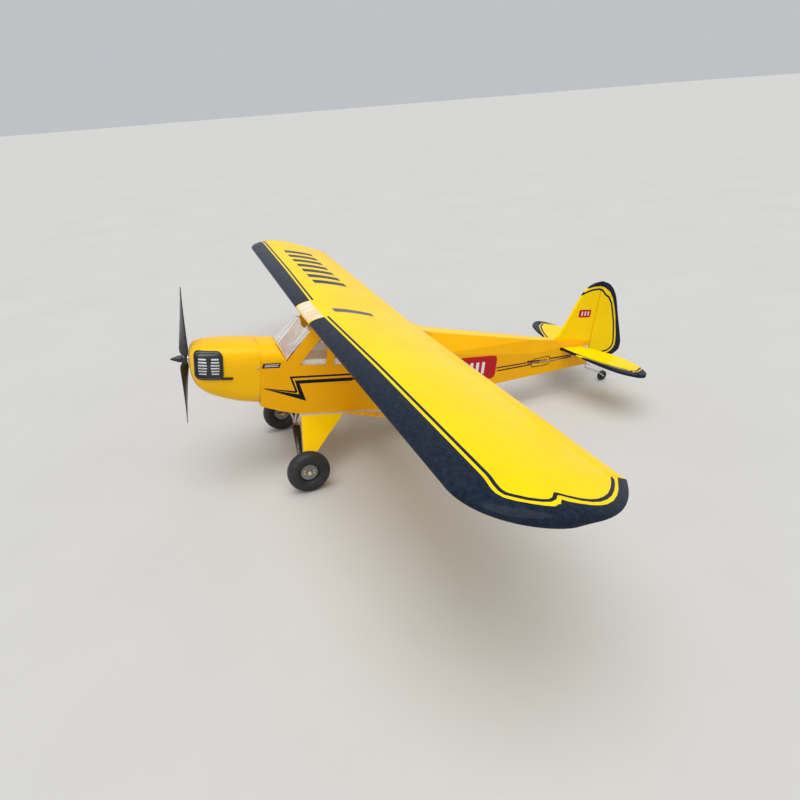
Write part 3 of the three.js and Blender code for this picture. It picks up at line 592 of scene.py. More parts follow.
def wing_panel(side):
    stations = wing_stations()
    shape = Shape()
    shape.loft([wing_ring(x) for x in stations])
    if side < 0:
        shape = shape.mirrored()
    name = "wing_panel_port" if side > 0 else "wing_panel_starboard"
    made = build(name, shape, WING_FILM, "airframe", name, angle=40, weld=0.0001)
    outline = [(x, wing_chord(x)[0]) for x in stations]
    outline += [(x, wing_chord(x)[1]) for x in reversed(stations) if x > TIP_TE_START]

    def on_top(p):
        front, rear = wing_chord(abs(p.x))
        s = min(1, max(0, (p.y - front) / max(1, rear - front)))
        return p.z >= chord_line(p.y) + wing_rise(abs(p.x)) + camber_at(s) * (rear - front)

    def band_at(p):
        if abs(p.x) < CAP_HALF:
            return -9
        if on_top(p):
            return distance_to(GAP_LINE, abs(p.x), p.y)
        return 10 - abs(distance_to(outline, abs(p.x), p.y))

    def stripe_at(p):
        return distance_to(STRIPE_LINE, abs(p.x), p.y) if on_top(p) and abs(p.x) > CAP_HALF else 99

    mark_trim(made, band_at, stripe_at)


def horn_outline(y, z, corner, tip):
    """Side view of a control horn that hangs from a hinge line at (y, z) down to its tip."""
    root = [(y - 3, z - 2), (y + 12, z - 2), (y + 4, z - corner)]
    return root + [(y + 2, z - tip), (y - 2, z - tip), (y - 3, z - corner)]


def aileron():
    def ring(x):
        rise = x * math.tan(DIHEDRAL)
        nose = []
        for i in range(13):
            t = math.pi / 2 + math.pi * i / 12
            y = HINGE_Y + AILERON_RADIUS * math.cos(t)
            nose.append((x, y, HINGE_Z + rise + AILERON_RADIUS * math.sin(t)))
        te = WING_LE[0] + CHORD
        low = chord_line(te) + rise
        return [(x, te, low + 0.5), *nose, (x, te, low - 0.5), (x, te, low)]

    shape = Shape().loft([ring(x) for x in (AILERON[0], 300, 500, 700, AILERON[1] - 0.5)])
    x = SERVO_X + 5
    horn = horn_outline(HINGE_Y, HINGE_Z + SERVO_X * math.tan(DIHEDRAL), 15, 17)
    shape.slab(horn, "x", x - 0.8, x + 0.8, 1)
    return shape


for side in (1, -1):
    wing_panel(side)
build_pair("aileron_{}", aileron(), [TOP_FILM, NYLON], "aileron_{}", ["aileron_{}"], bevel=0.25)


# ---- decals and bands laid on a surface ----
def half_width(y):
    return along([(NOSE, CABIN_HALF), (TAPER_START, CABIN_HALF), (STERN, STERN_HALF)], y)


def on_side(y, z, lift):
    return (half_width(y) + lift, y, z)


def on_fin(y, z, lift):
    return (TAIL_HALF + lift, y, z)


def ribbon(shape, points, width, place, look=0, lift=0.22, step=10, start_width=None):
    """Thin stripe along a line of points on a surface, with square mitred corners."""
    path = []
    for (a0, b0), (a1, b1) in zip(points, points[1:]):
        n = max(1, int(math.hypot(a1 - a0, b1 - b0) / step))
        path += [(a0 + (a1 - a0) * i / n, b0 + (b1 - b0) * i / n) for i in range(n)]
    path.append(points[-1])
    rings = []
    for i, (a, b) in enumerate(path):
        before = Vector(path[i]) - Vector(path[i - 1]) if i else Vector(path[1]) - Vector(path[0])
        after = Vector(path[i + 1]) - Vector(path[i]) if i + 1 < len(path) else before
        before, after = before.normalized(), after.normalized()
        across = before + after
        across = Vector((-across.y, across.x)).normalized()
        reach = 1 / max(0.35, abs(across.dot(Vector((-after.y, after.x)))))
        w = width if start_width is None else start_width + (width - start_width) * i / (len(path) - 1)
        d = across * (w / 2 * reach)
        rings.append([place(a - d.x, b - d.y, -0.2), place(a - d.x, b - d.y, lift)])
        rings[-1] += [place(a + d.x, b + d.y, lift), place(a + d.x, b + d.y, -0.2)]
    return shape.loft(rings, look)


def panel(shape, outline, place, look=0, lift=0.22):
    flat = Shape().slab(outline, "x", -0.2, lift, look)
    shape.add([place(p.y, p.z, p.x) for p in flat.points], flat.faces)
    shape.looks[-len(flat.looks) :] = flat.looks
    return shape


def rounded(y0, y1, z0, z1, r, steps=6):
    made = []
    for cy, cz, q in ((y1 - r, z1 - r, 0), (y0 + r, z1 - r, 1), (y0 + r, z0 + r, 2), (y1 - r, z0 + r, 3)):
        turns = [math.pi / 2 * (q + k / steps) for k in range(steps + 1)]
        made += [(cy + r * math.cos(t), cz + r * math.sin(t)) for t in turns]
    return made


def finely(loop, step=3):
    """Closed outline with a point at least every step, so that it can follow a curved surface."""
    made = []
    for (a0, b0), (a1, b1) in zip(loop, loop[1:] + loop[:1]):
        n = max(1, math.ceil(math.hypot(a1 - a0, b1 - b0) / step))
        made += [(a0 + (a1 - a0) * i / n, b0 + (b1 - b0) * i / n) for i in range(n)]
    return made


def side_trim(cartouche):
    """Lightning line, plain badges and aft stripes of one side of the fuselage."""
    trim = Shape()
    badge = [(-89, 216), (-49, 216), (-46, 227), (-85, 227)]
    panel(trim, badge, on_side)
    ribbon(trim, [(-83, 219.8), (-52, 219.8)], 1.5, on_side, 1, 0.3)
    ribbon(trim, [(-81.5, 223.4), (-50.5, 223.4)], 1.5, on_side, 1, 0.3)
    bolt = [(-88, 168), (-3, 147.5), (-14, 183), (124, 183), (124, 174.5), (-3, 174.5), (14, 130)]
    panel(trim, bolt, on_side)
    ribbon(trim, [(-82, 167.3), (-9, 153.5)], 4.5, on_side, 0, 0.22, 10, 1.2)
    ribbon(trim, [(-9, 153.5), (-23, 191), (120, 191)], 4.5, on_side)
    ribbon(trim, [(118, 191), (TAPER_START, 184), (412, 177)], 4.2, on_side)
    ribbon(trim, [(122, 179), (TAPER_START, 174.5), (412, 169)], 4.2, on_side)
    panel(trim, rounded(410, 530, 147, 212, 13), on_side, 2, 0.3)
    for y in (448, 466, 484):
        panel(trim, rounded(y, y + 9, 163, 196, 1.5, 2), on_side, 1, 0.42)
    rear = 710 if cartouche else 747
    ribbon(trim, [(532, 175.5), (596, 179.8)], 3.5, on_side)
    ribbon(trim, [(535, 167), (648, 176)], 3.5, on_side)
    ribbon(trim, [(rear, 188.5 + (rear - 710) * 0.07), (790, 194)], 3.5, on_side)
    ribbon(trim, [(712, 181), (786, 189)], 3.5, on_side)
    if not cartouche:
        return trim
    ribbon(trim, [(596, 179.8), (629, 182)], 3.5, on_side)
    frame_line = [(680, 169), (651, 168), (647, 174), (648, 186), (653, 191), (704, 196), (709, 191)]
    frame_line += [(709, 178), (704, 172.5), (680, 169)]
    ribbon(trim, frame_line, 2.2, on_side)
    for y in (682, 690, 698):
        ribbon(trim, [(y, 179), (y, 188)], 4.2, on_side)
    return trim


TRIM_LOOKS = [TRIM, WHITE_FILM, RED_FILM]
build("fuselage_trim_port", side_trim(True), TRIM_LOOKS, "airframe", weld=0.00001)
build("fuselage_trim_starboard", side_trim(False).mirrored(), TRIM_LOOKS, "airframe", weld=0.00001)


def rod_exit(y0, y1, z0, z1, slit):
    """Film over the side, slit where a tail pushrod comes out."""
    outline = [(y0, z0), (y1, z0), (y1, z1), (y0, z1)]
    a, b, low, high = slit
    hole = rounded(a, b, low, high, (high - low) / 2 - 0.1, 5)
    sheet = Shape().slab(outline, "x", -0.7, 0.12, 0, [hole])
    return sheet.map(lambda p: (half_width(p.y) + p.x, p.y, p.z))


build("rod_exit_port", rod_exit(608, 727, 172, 196, (630, 678, 178, 187.5)), SHADED_SIDE_FILM, "airframe", weld=0.00001)
rudder_exit = rod_exit(588, 747, 181, 199, (602, 740, 185.5, 193))
build("rod_exit_starboard", rudder_exit.mirrored(), SHADED_SIDE_FILM, "airframe", weld=0.00001)


def node_finish(names, look, bevel=0.0, angle=25):
    """Finish of pieces shown with their own CAD shape."""
    for name in names:
        node = frame["nodes"][name]
        node.data.materials.clear()
        node.data.materials.append(look)
        if bevel:
            soften = node.modifiers.new("soften", "BEVEL")
            soften.width = bevel / 1000
            soften.segments = 2
            soften.limit_method = "ANGLE"
            soften.angle_limit = math.radians(angle)


def both(*names):
    return [f"{n}_{side}" for n in names for side in ("port", "starboard")]


# The sides and belly get the darker, painted-shade copy of the yellow film.
node_finish(both("fuselage_side") + ["fuselage_belly"], SHADED_SIDE_FILM, 0.9, 14)
node_finish(["fuselage_turtledeck"], TOP_FILM, 0.5)
node_finish(["cabin_frame", "firewall"], WOOD, 0.3)
node_finish(both("side_window"), WINDOW)
node_finish(both("gear_leg"), LEG_PAINT, 0.6)
node_finish(["gear_cabane"], STEEL, 0.4, 50)
node_finish(both("aileron_servo") + ["elevator_servo", "rudder_servo"], SERVO_CASE, 0.8)
node_finish(both("aileron_servo_arm") + ["elevator_servo_arm", "rudder_servo_arm"], NYLON, 0.3, 40)
node_finish(both("aileron_pushrod") + ["elevator_pushrod", "rudder_pushrod"], STEEL, 0.15, 60)
node_finish(["tail_wheel_bracket"], STEEL, 0.3)


def window_sill():
    return Shape().box(56.6, 57.9, -5, 150, 212, 231)


build_pair("window_sill_{}", window_sill(), CABIN_WHITE, bevel=0.3)


# ---- front deck, windscreen and wing-root cap ----
def front_deck():
    wide, high, steps = CABIN_HALF, DECK_CROWN, 64
    glass = [(230, -33), (266, -56), (300, -70)]

    def ring(y, inset):
        made = []
        for i in range(steps + 1):
            t = math.pi * i / steps
            c, s = math.cos(t), math.sin(t)
            x = (wide - inset) * math.copysign(abs(c) ** 0.7, c)
            z = DECK_SIDE + 0.3 + (high - inset) * max(s, 0) ** 0.9
            made.append((x, min(y, along(glass, z)), z))
        return made

    stations = [NOSE + 0.3 + (60 - 0.3) * i / 16 for i in range(17)]
    rings = [ring(y, 0) for y in stations] + [ring(y, SKIN) for y in reversed(stations)]
    shape = Shape().loft(rings + [rings[0]], closed=False, caps=False)
    build("fuselage_front_deck", shape, DECK_FILM, "airframe", "fuselage_front_deck", angle=40)


front_deck()

PANE = [(-61.5, -34, 232.5, 18, 300), (-41, -46, 252.5, 3, 307), (0, -55, 264.5, 8, 312)]
PANE += [(41, -46, 252.5, 3, 307), (61.5, -34, 232.5, 18, 300)]


def curve(rows, steps):
    """Smooth rows between the rows given."""
    ends = [[2 * a - b for a, b in zip(rows[0], rows[1])], *rows]
    ends.append([2 * a - b for a, b in zip(rows[-1], rows[-2])])
    made = []
    for p in range(1, len(ends) - 2):
        for k in range(steps):
            t = k / steps
            four = zip(ends[p - 1], ends[p], ends[p + 1], ends[p + 2])
            made.append([blend_four(t, *values) for values in four])
    return made + [list(rows[-1])]


def blend_four(t, a, b, c, d):
    return 0.5 * (2 * b + (c - a) * t + (2 * a - 5 * b + 4 * c - d) * t * t + (3 * b - a - 3 * c + d) * t**3)


def pane_point(row, t, lift):
    x, y0, z0, y1, z1 = row
    bulge = 1.5 * math.sin(math.pi * t)
    y = y0 + (y1 - y0) * t - lift * 0.8 - bulge * 0.5
    return (x * (1 + lift / CABIN_HALF), y, z0 + (z1 - z0) * t + bulge * 0.5)


def windscreen():
    rows = curve(PANE, 10)
    steps = [i / 10 for i in range(11)]
    rings = []
    for row in rows:
        outer = [pane_point(row, t, 0) for t in steps]
        inner = [pane_point(row, t, -0.8) for t in reversed(steps)]
        rings.append(outer + inner)
    build("windscreen", Shape().loft(rings), CLEAR, "airframe", "windscreen", angle=50)
    bead = Shape().tube([pane_point(row, 0.02, -0.6) for row in rows], 1.5, 10)
    build("windscreen_foot_bead", bead, SHADED_SIDE_FILM, "airframe", angle=50)
    post = Shape()
    for row in (rows[2], rows[-3]):
        post.tube([pane_point(row, i / 8, -1.6) for i in range(9)], 1.6, 8)
    build("windscreen_posts", post, WOOD, "airframe", angle=50)


windscreen()


def wing_cover(name, corners, look, lift, rows=16, columns=24, thick=0.5):
    """Thin sheet over part of the wing's top, between four corners (x, y)."""
    a, b, c, d = [Vector(p) for p in corners]
    rings = []
    for i in range(rows + 1):
        u = i / rows
        left, right = a.lerp(d, u), b.lerp(c, u)
        line = [left.lerp(right, j / columns) for j in range(columns + 1)]
        upper = [wing_point(p.x, p.y, 1, lift) for p in line]
        lower = [wing_point(p.x, p.y, 1, lift - thick) for p in reversed(line)]
        rings.append(upper + lower)
    build(name, Shape().loft(rings), look, "airframe", angle=50)


wing_cover("wing_root_cap", [(-61, 14.4), (61, 14.4), (69, 46), (-69, 46)], CREAM, 0.5)
wing_cover("wing_root_skylight", [(12, 80), (43, 80), (66, 166), (40, 168)], SMOKE, 0.35)

MARKING = {"count": 7, "start": 228, "pitch": 66, "width": 34, "front": 98, "rear": 188}
for i in range(MARKING["count"]):
    inner = -(MARKING["start"] + MARKING["pitch"] * i)
    outer = inner - MARKING["width"]
    front, rear = MARKING["front"], MARKING["rear"]
    bar_corners = [(outer, front), (inner, front), (inner, rear), (outer, rear)]
    wing_cover(f"wing_marking_{i + 1}", bar_corners, TRIM, 0.25, 14, 6, 0.45)


# ---- cowl, cheeks and screws ----
COWL = [(NOSE - 0.35, 263, 123, 62, 4.2), (-142, 265.5, 129, 62, 3.6), (-190, 265.5, 143, 60, 3.1)]
COWL += [(-214, 263.5, 156, 56, 2.9), (-229, 259, 172, 48.5, 2.7), (-236, 250, 189, 37, 2.5)]
SMOOTH_COWL = curve(COWL, 8)
COWL_WALL = 1.6


def cowl_ring(row, inset, n=96):
    y, top, bottom, half, square = row
    made = []
    for i in range(n):
        t = 2 * math.pi * i / n
        c, s = math.cos(t), math.sin(t)
        x = (half - inset) * math.copysign(abs(c) ** (2 / square), c)
        z = (top + bottom) / 2 + ((top - bottom) / 2 - inset) * math.copysign(abs(s) ** (2 / square), s)
        made.append((x, y, z))
    return made


def cowl():
    rows = SMOOTH_COWL
    lip = (-238.2, 240, 203, 24, 2.1)
    hole = [(-238.4, THRUST.z + 13, THRUST.z - 13, 13, 2), (-236.8, THRUST.z + 13, THRUST.z - 13, 13, 2)]
    outer = [cowl_ring(r, 0) for r in rows] + [cowl_ring(r, 0) for r in (lip, hole[0], hole[1])]
    inner = [cowl_ring((r[0] + COWL_WALL * 0.8, *r[1:]), COWL_WALL) for r in reversed(rows)]
    shape = Shape().loft(outer + inner + [outer[0]], caps=False)
    build("cowl", shape, COWL_PAINT, "airframe", "cowl", angle=50)


cowl()


def on_cowl(y, z, lift):
    top, bottom, half, square = [along([(-r[0], r[k]) for r in SMOOTH_COWL], -y) for k in (1, 2, 3, 4)]
    v = min(0.999, abs(z - (top + bottom) / 2) / ((top - bottom) / 2))
    return (half * (1 - v**square) ** (1 / square) + lift, y, z)


def cheek():
    shape = Shape()
    rim = []
    outline = finely(rounded(-231, -171, 194, 256, 12, 8))

    def shrunk(inset):
        return [(-201 + (y + 201) * (1 - inset / 30), 225 + (z - 225) * (1 - inset / 31)) for y, z in outline]

    for inset, lift in ((0, -0.5), (0, 2), (0.8, 3.3), (2.2, 3.9), (3.6, 3.3), (4.4, 2.2), (4.6, 0.4)):
        rim.append([on_cowl(y, z, lift) for y, z in shrunk(inset)])
    shape.loft(rim, caps=False)
    loops = []
    for i in range(17):
        loops.append([on_cowl(y, z, 0.9) for y, z in shrunk(4.5 + 25.3 * i / 16)])
    shape.loft(loops, caps=False)
    tail = [(-176, 194), (-152, 194), (-151, 196.5), (-152, 199), (-176, 199)]
    shape.loft([[on_cowl(y, z, lift) for y, z in tail] for lift in (0.1, 3.2)])
    for middle in (-214, -188):
        for i in range(6):
            z = 208 + 6.4 * i
            half = 7.5 + 1.5 * math.sin(math.pi * i / 5)
            line = [(middle + half * (k / 6 * 2 - 1)) for k in range(7)]
            section = ((-1.5, 0.3), (-1.1, 2.9), (1.1, 2.9), (1.5, 0.3))
            shape.loft([[on_cowl(y, z + step, lift) for step, lift in section] for y in line], 1)
    return shape


build_pair("cheek_inlet_{}", cheek(), [GLOSS_BLACK, HEAD_GREY], nodes=["cheek_inlet_{}"], angle=45)


def screw(z):
    profile = [(0.3, 0), (0.3, 2.6), (0.9, 2.6), (1.6, 2.0), (1.95, 0.9), (1.95, 0.4), (1.2, 0)]
    return Shape().turned(profile, (CABIN_HALF, -98, z), "x", 24)


for level, z in (("upper", 217), ("lower", 152)):
    build_pair(f"cowl_screw_{level}_{{}}", screw(z), STEEL, nodes=[f"cowl_screw_{level}_{{}}"])


# ---- motor and propeller ----
def blade_ring(r, sides=24):
    u = r / PROP_RADIUS
    chord = 5 if r < 12.5 else 9.5 + 7 * math.sin(math.pi * min(1, u * 1.15)) - 5 * u**3
    chord *= 1 if u < 0.975 else 0.35 + 0.65 * math.sqrt(max(0, 1 - ((u - 0.975) / 0.025) ** 2))
    thick = 3.4 * (1 - u) + 0.7
    twist = math.atan(PROP_PITCH / (2 * math.pi * max(r, 22)))
    ring = []
    for i in range(sides):
        t = 2 * math.pi * i / sides
        a, b = chord * math.cos(t), thick * math.sin(t) * (1 + 0.25 * math.cos(t))
        x, y = a * math.cos(twist) - b * math.sin(twist), a * math.sin(twist) + b * math.cos(twist)
        ring.append(Vector((x, y, r)))
    return ring


def propeller():
    radii = [4, 9, 12.5, 16, 22, 30] + [40 + 10 * i for i in range(12)]
    radii += [155, 158, 160, 161.5, 162.7, 163.5, PROP_RADIUS]
    rings = [blade_ring(r) for r in radii]
    shape = Shape().loft(rings)
    shape.loft([[Vector((-p.x, p.y, -p.z)) for p in ring] for ring in rings])
    hub = [(-5.5, 0), (-5.5, 11.6), (-4.6, 12.5), (4.6, 12.5), (5.5, 11.6), (5.5, 0)]
    shape.turned(hub, (0, 0, 0), "y", 48)
    cos, sin = math.cos(PROP_TURN), math.sin(PROP_TURN)
    shape.map(lambda p: THRUST + Vector((p.x * cos + p.z * sin, p.y, -p.x * sin + p.z * cos)))
    build("propeller", shape, PROP_BLACK, "propeller", "propeller", bevel=0.3, angle=50)


propeller()
NUT = [(-29, 0), (-28.6, 1.0), (-27, 2.2), (-20, 4.6), (-12, 7.4), (-6.6, 8.2), (-5.85, 7.8), (-5.85, 0)]
ADAPTER = [(5.85, 0), (5.85, 9), (6.3, 9.5), (8.6, 9.5), (9, 9), (9, 4.5), (23, 4.5), (23, 0)]
BELL = [(23.35, 0), (23.35, 10.6), (24, 11.4), (27, 16.8), (27.8, 17.5), (51.4, 17.5), (52, 17), (52, 0)]
MOUNT = [(53, 0), (53, 12.6), (53.5, 13), (58, 13), (58, 20.4)]
MOUNT += [(58.8, 21), (156, 21), (156.5, 20.5), (156.5, 0)]
for name, profile, look, body in (
    ("prop_nut", NUT, PROP_BLACK, "propeller"),
    ("prop_adapter", ADAPTER, ALLOY, "propeller"),
    ("motor_bell", BELL, ALLOY, "propeller"),
    ("motor_mount", MOUNT, WOOD, "airframe"),
):
    build(name, Shape().turned(profile, THRUST, "y", 48), look, body, name, angle=35)


# ---- undercarriage ----
def tyre(radius, width, rim, x):
    a, b = width / 2, (radius - rim) / 2
    section = []
    for i in range(40):
        t = 2 * math.pi * i / 40
        c, s = math.cos(t), math.sin(t)
        across = a * math.copysign(abs(s) ** 0.9, s)
        section.append((across, rim + b + b * math.copysign(abs(c) ** 0.85, c)))
    return Shape().turned(section + [section[0]], (x, 0, 0), "x", 96)


def wheel_hub(x):
    profile = [(-7, 2.85), (-7, 19), (-6.4, 19.65), (5, 19.65), (6.2, 19.1), (6.2, 17.4)]
    profile += [(5.2, 16.6), (5.2, 7), (7, 6.2), (7, 2.85), (-7, 2.85)]
    shape = Shape().turned(profile, (x, 0, 0), "x", 64)
    for i in range(2):
        z = -3.2 + 6.4 * i
        for y in (-13.2, 9.0):
            shape.box(x + 5, x + 5.6, y, y + 4.6, z - 1.8, z + 1.8, 1)
    for i in range(6):
        t = math.pi / 3 * i + 0.5
        y, z = 12.5 * math.cos(t), 12.5 * math.sin(t)
        if abs(z) > 5:
            shape.bar((x + 4.8, y, z), (x + 5.5, y, z), 1.5, 1.5, 12, wide=(0, 1, 0))
    return shape


def axle_collar(x):
    profile = [(7.2, 2.6), (7.2, 5.2), (12.2, 5.2), (12.7, 4.7), (12.7, 2.6), (7.2, 2.6)]
    return Shape().turned(profile, (x, 0, 0))


rubber = tyre(TYRE_RADIUS, TYRE_WIDTH, TYRE_RIM, WHEEL_TRACK)
build_pair("tyre_{}", rubber, RUBBER, "wheel_{}", ["tyre_{}"], angle=60)
build_pair("wheel_hub_{}", wheel_hub(WHEEL_TRACK), [HUB_GREY, GOLD], "wheel_{}", ["wheel_hub_{}"], angle=35)
build_pair("axle_collar_{}", axle_collar(WHEEL_TRACK), STEEL, angle=35)


def shock_strut():
    return Shape().bar((41, -4, 57), (134, -12, 12), 10.5, 5, 32, 0.42)


def coil(a, b, radius, turns):
    a, b = Vector(a), Vector(b)
    axis = (b - a).normalized()
    u = (Vector((0, 1, 0)) - axis * axis.y).normalized()
    w = axis.cross(u)
    steps = turns * 14
    path = []
    for i in range(steps + 1):
        q = 2 * math.pi * turns * i / steps
        path.append(a.lerp(b, i / steps) + (u * math.cos(q) + w * math.sin(q)) * radius)
    return Shape().tube(path, 0.9, 8)


build_pair("shock_strut_{}", shock_strut(), GLOSS_BLACK, nodes=["shock_strut_{}"], angle=50)
build_pair("shock_spring_{}", coil((20, -4, 63), (34, -4, 60), 4.4, 6), COPPER, angle=60)


# ---- wing struts ----
def lower_surface(x, y):
    s = (y - WING_LE[0]) / CHORD
    return chord_line(y) + x * math.tan(DIHEDRAL) + (camber_at(s) - upper_half(s)) * CHORD


STRUT_FOOT = (64.5, 91)
STRUT_TOP = 580


def strut(y_foot, y_top):
    end = (STRUT_TOP, y_top, lower_surface(STRUT_TOP, y_top) - 3.6)
    return Shape().bar((STRUT_FOOT[0], y_foot, STRUT_FOOT[1]), end, 5.5, 5.5, 28, 0.4)


def jury():
    t = (300 - STRUT_FOOT[0]) / (STRUT_TOP - STRUT_FOOT[0])
    top = lower_surface(STRUT_TOP, 98) - 3.6
    z = STRUT_FOOT[1] + t * (top - STRUT_FOOT[1])
    return Shape().bar((300, 98, z + 4.5), (300, 98, lower_surface(300, 98) - 1.2), 1.8, 1.8, 16)


build_pair("strut_front_{}", strut(113, 98), SHADED_SIDE_FILM, nodes=["strut_front_{}"], angle=50)
build_pair("strut_rear_{}", strut(127, 210), SHADED_SIDE_FILM, nodes=["strut_rear_{}"], angle=50)
build_pair("jury_strut_{}", jury(), SHADED_SIDE_FILM, nodes=["jury_strut_{}"], angle=50)


# ---- tail ----
TAIL_LE = curve([(-1, 742), (60, 753), (140, 768), (200, 787), (232, 812), (241, ELEVATOR_HINGE)], 8)
ELEVATOR_TE = [(101, 872), (140, 877), (180, 876), (222, 862), (240, 845)]
FIN_EDGE = [(230, 846), (238.3, 730)] + curve([(243, 726), (252, 737), (282, 752), (355, 784), (377, 798)], 6)
FIN_EDGE += [(388, 811), (395, 824), (399, 840), (401, 853)]
RUDDER_TE = [(187, 940), (200, 957), (220, 960), (255, 948), (310, 926), (362, 905)]
RUDDER_TE = curve(RUDDER_TE + [(391, 880), (401, 853)], 6)
RUDDER_REAR = 959.6
TAIL_STRIPE = [(8, 747.5), (60, 757), (110, 774), (147, 790), (183, 809)]
TAIL_STRIPE += [(209, 833), (204, 846), (188, 871), (180, 880)]
FIN_BAND_START = 368  # the black band leaves the front edge of the fin above this height
FIN_BAND = [(785, 355), (793, 374), (800, 380), (820, 386), (845, 388), (860, 384), (880, 372), (895, 352)]
FIN_BAND += [(908, 325), (918, 300), (925, 275), (933, 250), (938, 225), (938, 214), (932, 203), (922, 195)]
FIN_BAND += [(905, 186)]
FIN_STRIPE = [(772, 350), (777, 358), (790, 366), (800, 371), (820, 377.5), (840, 380), (852, 377)]
FIN_STRIPE += [(868, 363), (880, 357), (893, 340), (905, 312), (915, 285), (922, 260), (928, 235)]
FIN_STRIPE += [(930, 222), (926, 209), (915, 200), (896, 196)]


def plate(stations, front, rear, place, nose=TAIL_HALF, steps=26):
    """Flat tail surface with rounded edges: rows across it run from front(u) to rear(u)."""
    rings = []
    for u in stations:
        a0, a1 = front(u), max(rear(u), front(u) + 0.6)
        r = min(nose, (a1 - a0) / 2)
        turns = [math.pi / 2 * k / 6 for k in range(7)]
        row = [(a0 + r * (1 - math.cos(t)), TAIL_HALF * math.sin(t)) for t in turns]
        middle = [(a0 + r + (a1 - a0 - 2 * r) * k / steps, TAIL_HALF) for k in range(1, steps)]
        row += middle + [(a1 - r * (1 - math.cos(t)), TAIL_HALF * math.sin(t)) for t in reversed(turns)]
        rings.append([place(u, a, h) for a, h in row] + [place(u, a, -h) for a, h in reversed(row[1:-1])])
    return Shape().loft(rings)


def steps_between(low, high, n):
    """Stations closer together towards the high end."""
    return [low + (high - low) * math.sin(math.pi / 2 * i / n) for i in range(n + 1)]


def flat_place(u, a, h):
    return (u, a, TAIL_Z + h)


def fin_place(u, a, h):
    return (h, a, u)


def tail_front(x):
    return along(TAIL_LE, x)


def elevator_rear(x):
    if x < 60:
        return ELEVATOR_HINGE + 23 * (x - 24) / 36
    edge = curve([(60, 853), *ELEVATOR_TE], 8)
    return along(edge + [(241, 832)], x)


def tail_marks(p):
    return distance_to(TAIL_STRIPE, abs(p.x), p.y)


def fin_marks(p, line):
    return distance_to([(z, y) for y, z in line], p.z, p.y)


def tail_surface(name, shape, body, flat=True, looks=None):
    made = build(name, shape, looks or [WING_FILM], body, name, angle=50, weld=0.0005)
    if flat:
        mark_trim(made, lambda p: tail_marks(p) - 6, lambda p: tail_marks(p) - 2.4)
    else:
        def band_at(p):
            below = p.z < FIN_BAND_START and p.y < RUDDER_HINGE - TAIL_HALF
            return -9 if below else fin_marks(p, FIN_BAND) + 2.1

        mark_trim(made, band_at, lambda p: fin_marks(p, FIN_STRIPE))


def stabiliser():
    rear = ELEVATOR_HINGE - TAIL_HALF - HINGE_GAP
    side = steps_between(0, 239.5, 64)
    stations = [-x for x in reversed(side[1:])] + side
    shape = plate(stations, lambda x: tail_front(abs(x)), lambda x: rear, flat_place)
    tail_surface("stabiliser", shape, "airframe")


def elevator():
    front = ELEVATOR_HINGE - TAIL_HALF
    half = plate(steps_between(24, 240.5, 60), lambda x: front, elevator_rear, flat_place)
    shape = Shape()
    for part in (half, half.mirrored()):
        shape.add(part.points, part.faces)
    shape.bar((-26, ELEVATOR_HINGE, TAIL_Z), (26, ELEVATOR_HINGE, TAIL_Z), 1.8, 1.8, 16, look=1)
    shape.slab(horn_outline(ELEVATOR_HINGE, TAIL_Z, 18, 20.5), "x", 26.2, 27.8, 2)
    tail_surface("elevator", shape, "elevator", looks=[WING_FILM, STEEL, NYLON])


def fin():
    rear = RUDDER_HINGE - TAIL_HALF - HINGE_GAP

    def front(z):
        return min(along(FIN_EDGE, z), rear - 0.7)

    shape = plate(steps_between(231, 400, 70), front, lambda z: rear, fin_place)
    tail_surface("fin", shape, "airframe", flat=False)


def rudder():
    h = RUDDER_HINGE

    def rear(z):
        return min(RUDDER_REAR, along(RUDDER_TE, z))

    shape = plate(steps_between(187, 400.8, 80), lambda z: h - TAIL_HALF, rear, fin_place)
    horn = [(0, h - 3), (0, h + 9), (-18, h + 4), (-20.5, h + 2), (-20.5, h - 2), (-18, h - 3)]
    shape.slab(horn, "z", 190, 191.6, 2)
    tail_surface("rudder", shape, "rudder", flat=False, looks=[WING_FILM, STEEL, NYLON])


def stern_post():
    return Shape().box(-3.9, 3.9, 838.4, 845.8, 166, 208.5).box(-3.9, 3.9, 838.4, 845.8, 217.5, 229.6)


build("stern_post", stern_post(), SHADED_SIDE_FILM, "airframe", bevel=0.4)
stabiliser()
elevator()
fin()
rudder()

badge = panel(Shape(), rounded(789, 829, 300, 322, 5), on_fin, 0, 0.25)
for y in (798, 808, 818):
    panel(badge, rounded(y, y + 4, 305, 317, 1, 2), on_fin, 1, 0.4)
build_pair("fin_badge_{}", badge, [RED_FILM, WHITE_FILM])


# ---- tail wheel ----
TAIL_WHEEL = (0, 921, 119.55)


def tail_wheel():
    profile = [(-4.5, 2), (-4.5, 7.2), (-3.2, 8), (-4.2, 10.4), (-3.9, 12.8), (-2.6, 14.6), (0, 15.2)]
    profile += [(2.6, 14.6), (3.9, 12.8), (4.2, 10.4), (3.2, 8), (4.5, 7.2), (4.5, 2), (-4.5, 2)]
    shape = Shape().turned(profile, TAIL_WHEEL, "x", 64)
    build("tail_wheel", shape, RUBBER, "tail_wheel", "tail_wheel", angle=60)


def tail_leg():
    y, z = TAIL_WHEEL[1:]
    side = 6.7
    path = [(0, RUDDER_HINGE, 186.6), (0, RUDDER_HINGE, 152), (0.3, RUDDER_HINGE + 1, 148.6), (1, 859, 146.4)]
    path += [(5.6, 893, 135.4), (side, 900, 132.6), (side, 903, 131), (side, y - 2, z + 2), (side, y, z)]
    shape = Shape().tube(curve(path, 4), 1.9, 14)
    shape.bar((side + 1.5, y, z), (-side, y, z), 1.5, 1.5, 16)
    shape.turned([(5.0, 1.6), (5.0, 3.4), (8.0, 3.4), (8.0, 1.6), (5.0, 1.6)], (-13, y, z), "x", 24)
    build("tail_wheel_leg", shape, STEEL, "rudder", "tail_wheel_leg", angle=50)


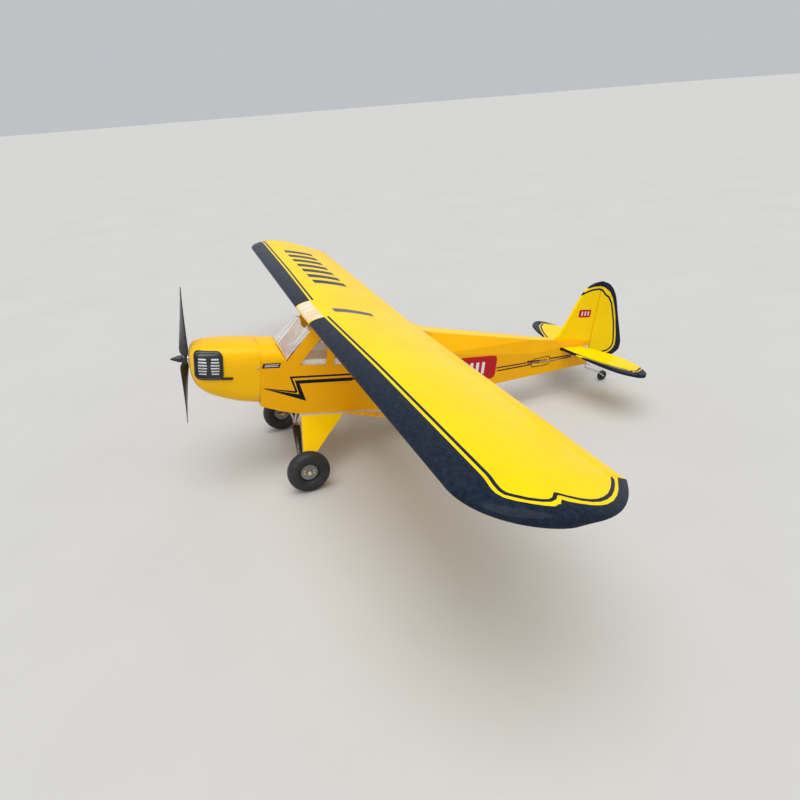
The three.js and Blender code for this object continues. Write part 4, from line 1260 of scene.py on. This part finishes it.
tail_wheel()
tail_leg()


# ---- floor, lights and camera ----
def floor():
    shape = bpy.data.meshes.new("floor")
    shape.from_pydata([(-90, -90, 0), (90, -90, 0), (90, 90, 0), (-90, 90, 0)], [], [(0, 1, 2, 3)])
    look = Look("pale_floor")
    tone = look.noise(2.5, 4, 0.6)
    look.set(Base_Color=look.mix(tone, (0.50, 0.495, 0.485, 1), (0.56, 0.555, 0.545, 1)), Roughness=0.7)
    shape.materials.append(look.made)
    made = bpy.data.objects.new("floor", shape)
    bpy.context.scene.collection.objects.link(made)


def soft_sun(name, source, strength, spread, tint=(1, 1, 1)):
    """Even light from a wide patch of the sky, so that the floor is as bright far away as near."""
    lamp = bpy.data.lights.new(name, "SUN")
    lamp.energy = strength
    lamp.angle = math.radians(spread)
    lamp.color = tint
    made = bpy.data.objects.new(name, lamp)
    made.rotation_mode = "QUATERNION"
    made.rotation_quaternion = (-Vector(source)).to_track_quat("-Z", "Y")
    bpy.context.scene.collection.objects.link(made)


def camera():
    azimuth, elevation, roll = math.radians(18.94), math.radians(26.50), math.radians(-4.45)
    level = Vector((-math.cos(azimuth), math.sin(azimuth), 0))
    forward = level * math.cos(elevation) + Vector((0, 0, -math.sin(elevation)))
    right = forward.cross(Vector((0, 0, 1))).normalized()
    up = right.cross(forward)
    side = right * math.cos(roll) + up * math.sin(roll)
    top = up * math.cos(roll) - right * math.sin(roll)
    lens = bpy.data.cameras.new("camera")
    lens.lens = 27.153
    lens.sensor_width = 36
    lens.clip_start, lens.clip_end = 0.05, 100
    made = bpy.data.objects.new("camera", lens)
    turn = Matrix((side, top, -forward)).transposed().to_4x4()
    made.matrix_world = Matrix.Translation((1.33756, -0.54357, 0.79309)) @ turn
    bpy.context.scene.collection.objects.link(made)
    bpy.context.scene.camera = made


floor()
soft_sun("key", (0.25, -0.1, 1), 2.4, 60, (1.0, 0.985, 0.96))
soft_sun("fill", (1, -0.9, 0.6), 0.22, 90, (0.95, 0.97, 1.0))
sky = bpy.data.worlds.new("sky")
sky.use_nodes = True
sky.node_tree.nodes["Background"].inputs["Color"].default_value = (0.93, 0.96, 1.0, 1)
sky.node_tree.nodes["Background"].inputs["Strength"].default_value = 0.56
bpy.context.scene.world = sky
bpy.context.scene.view_settings.view_transform = "Standard"
camera()
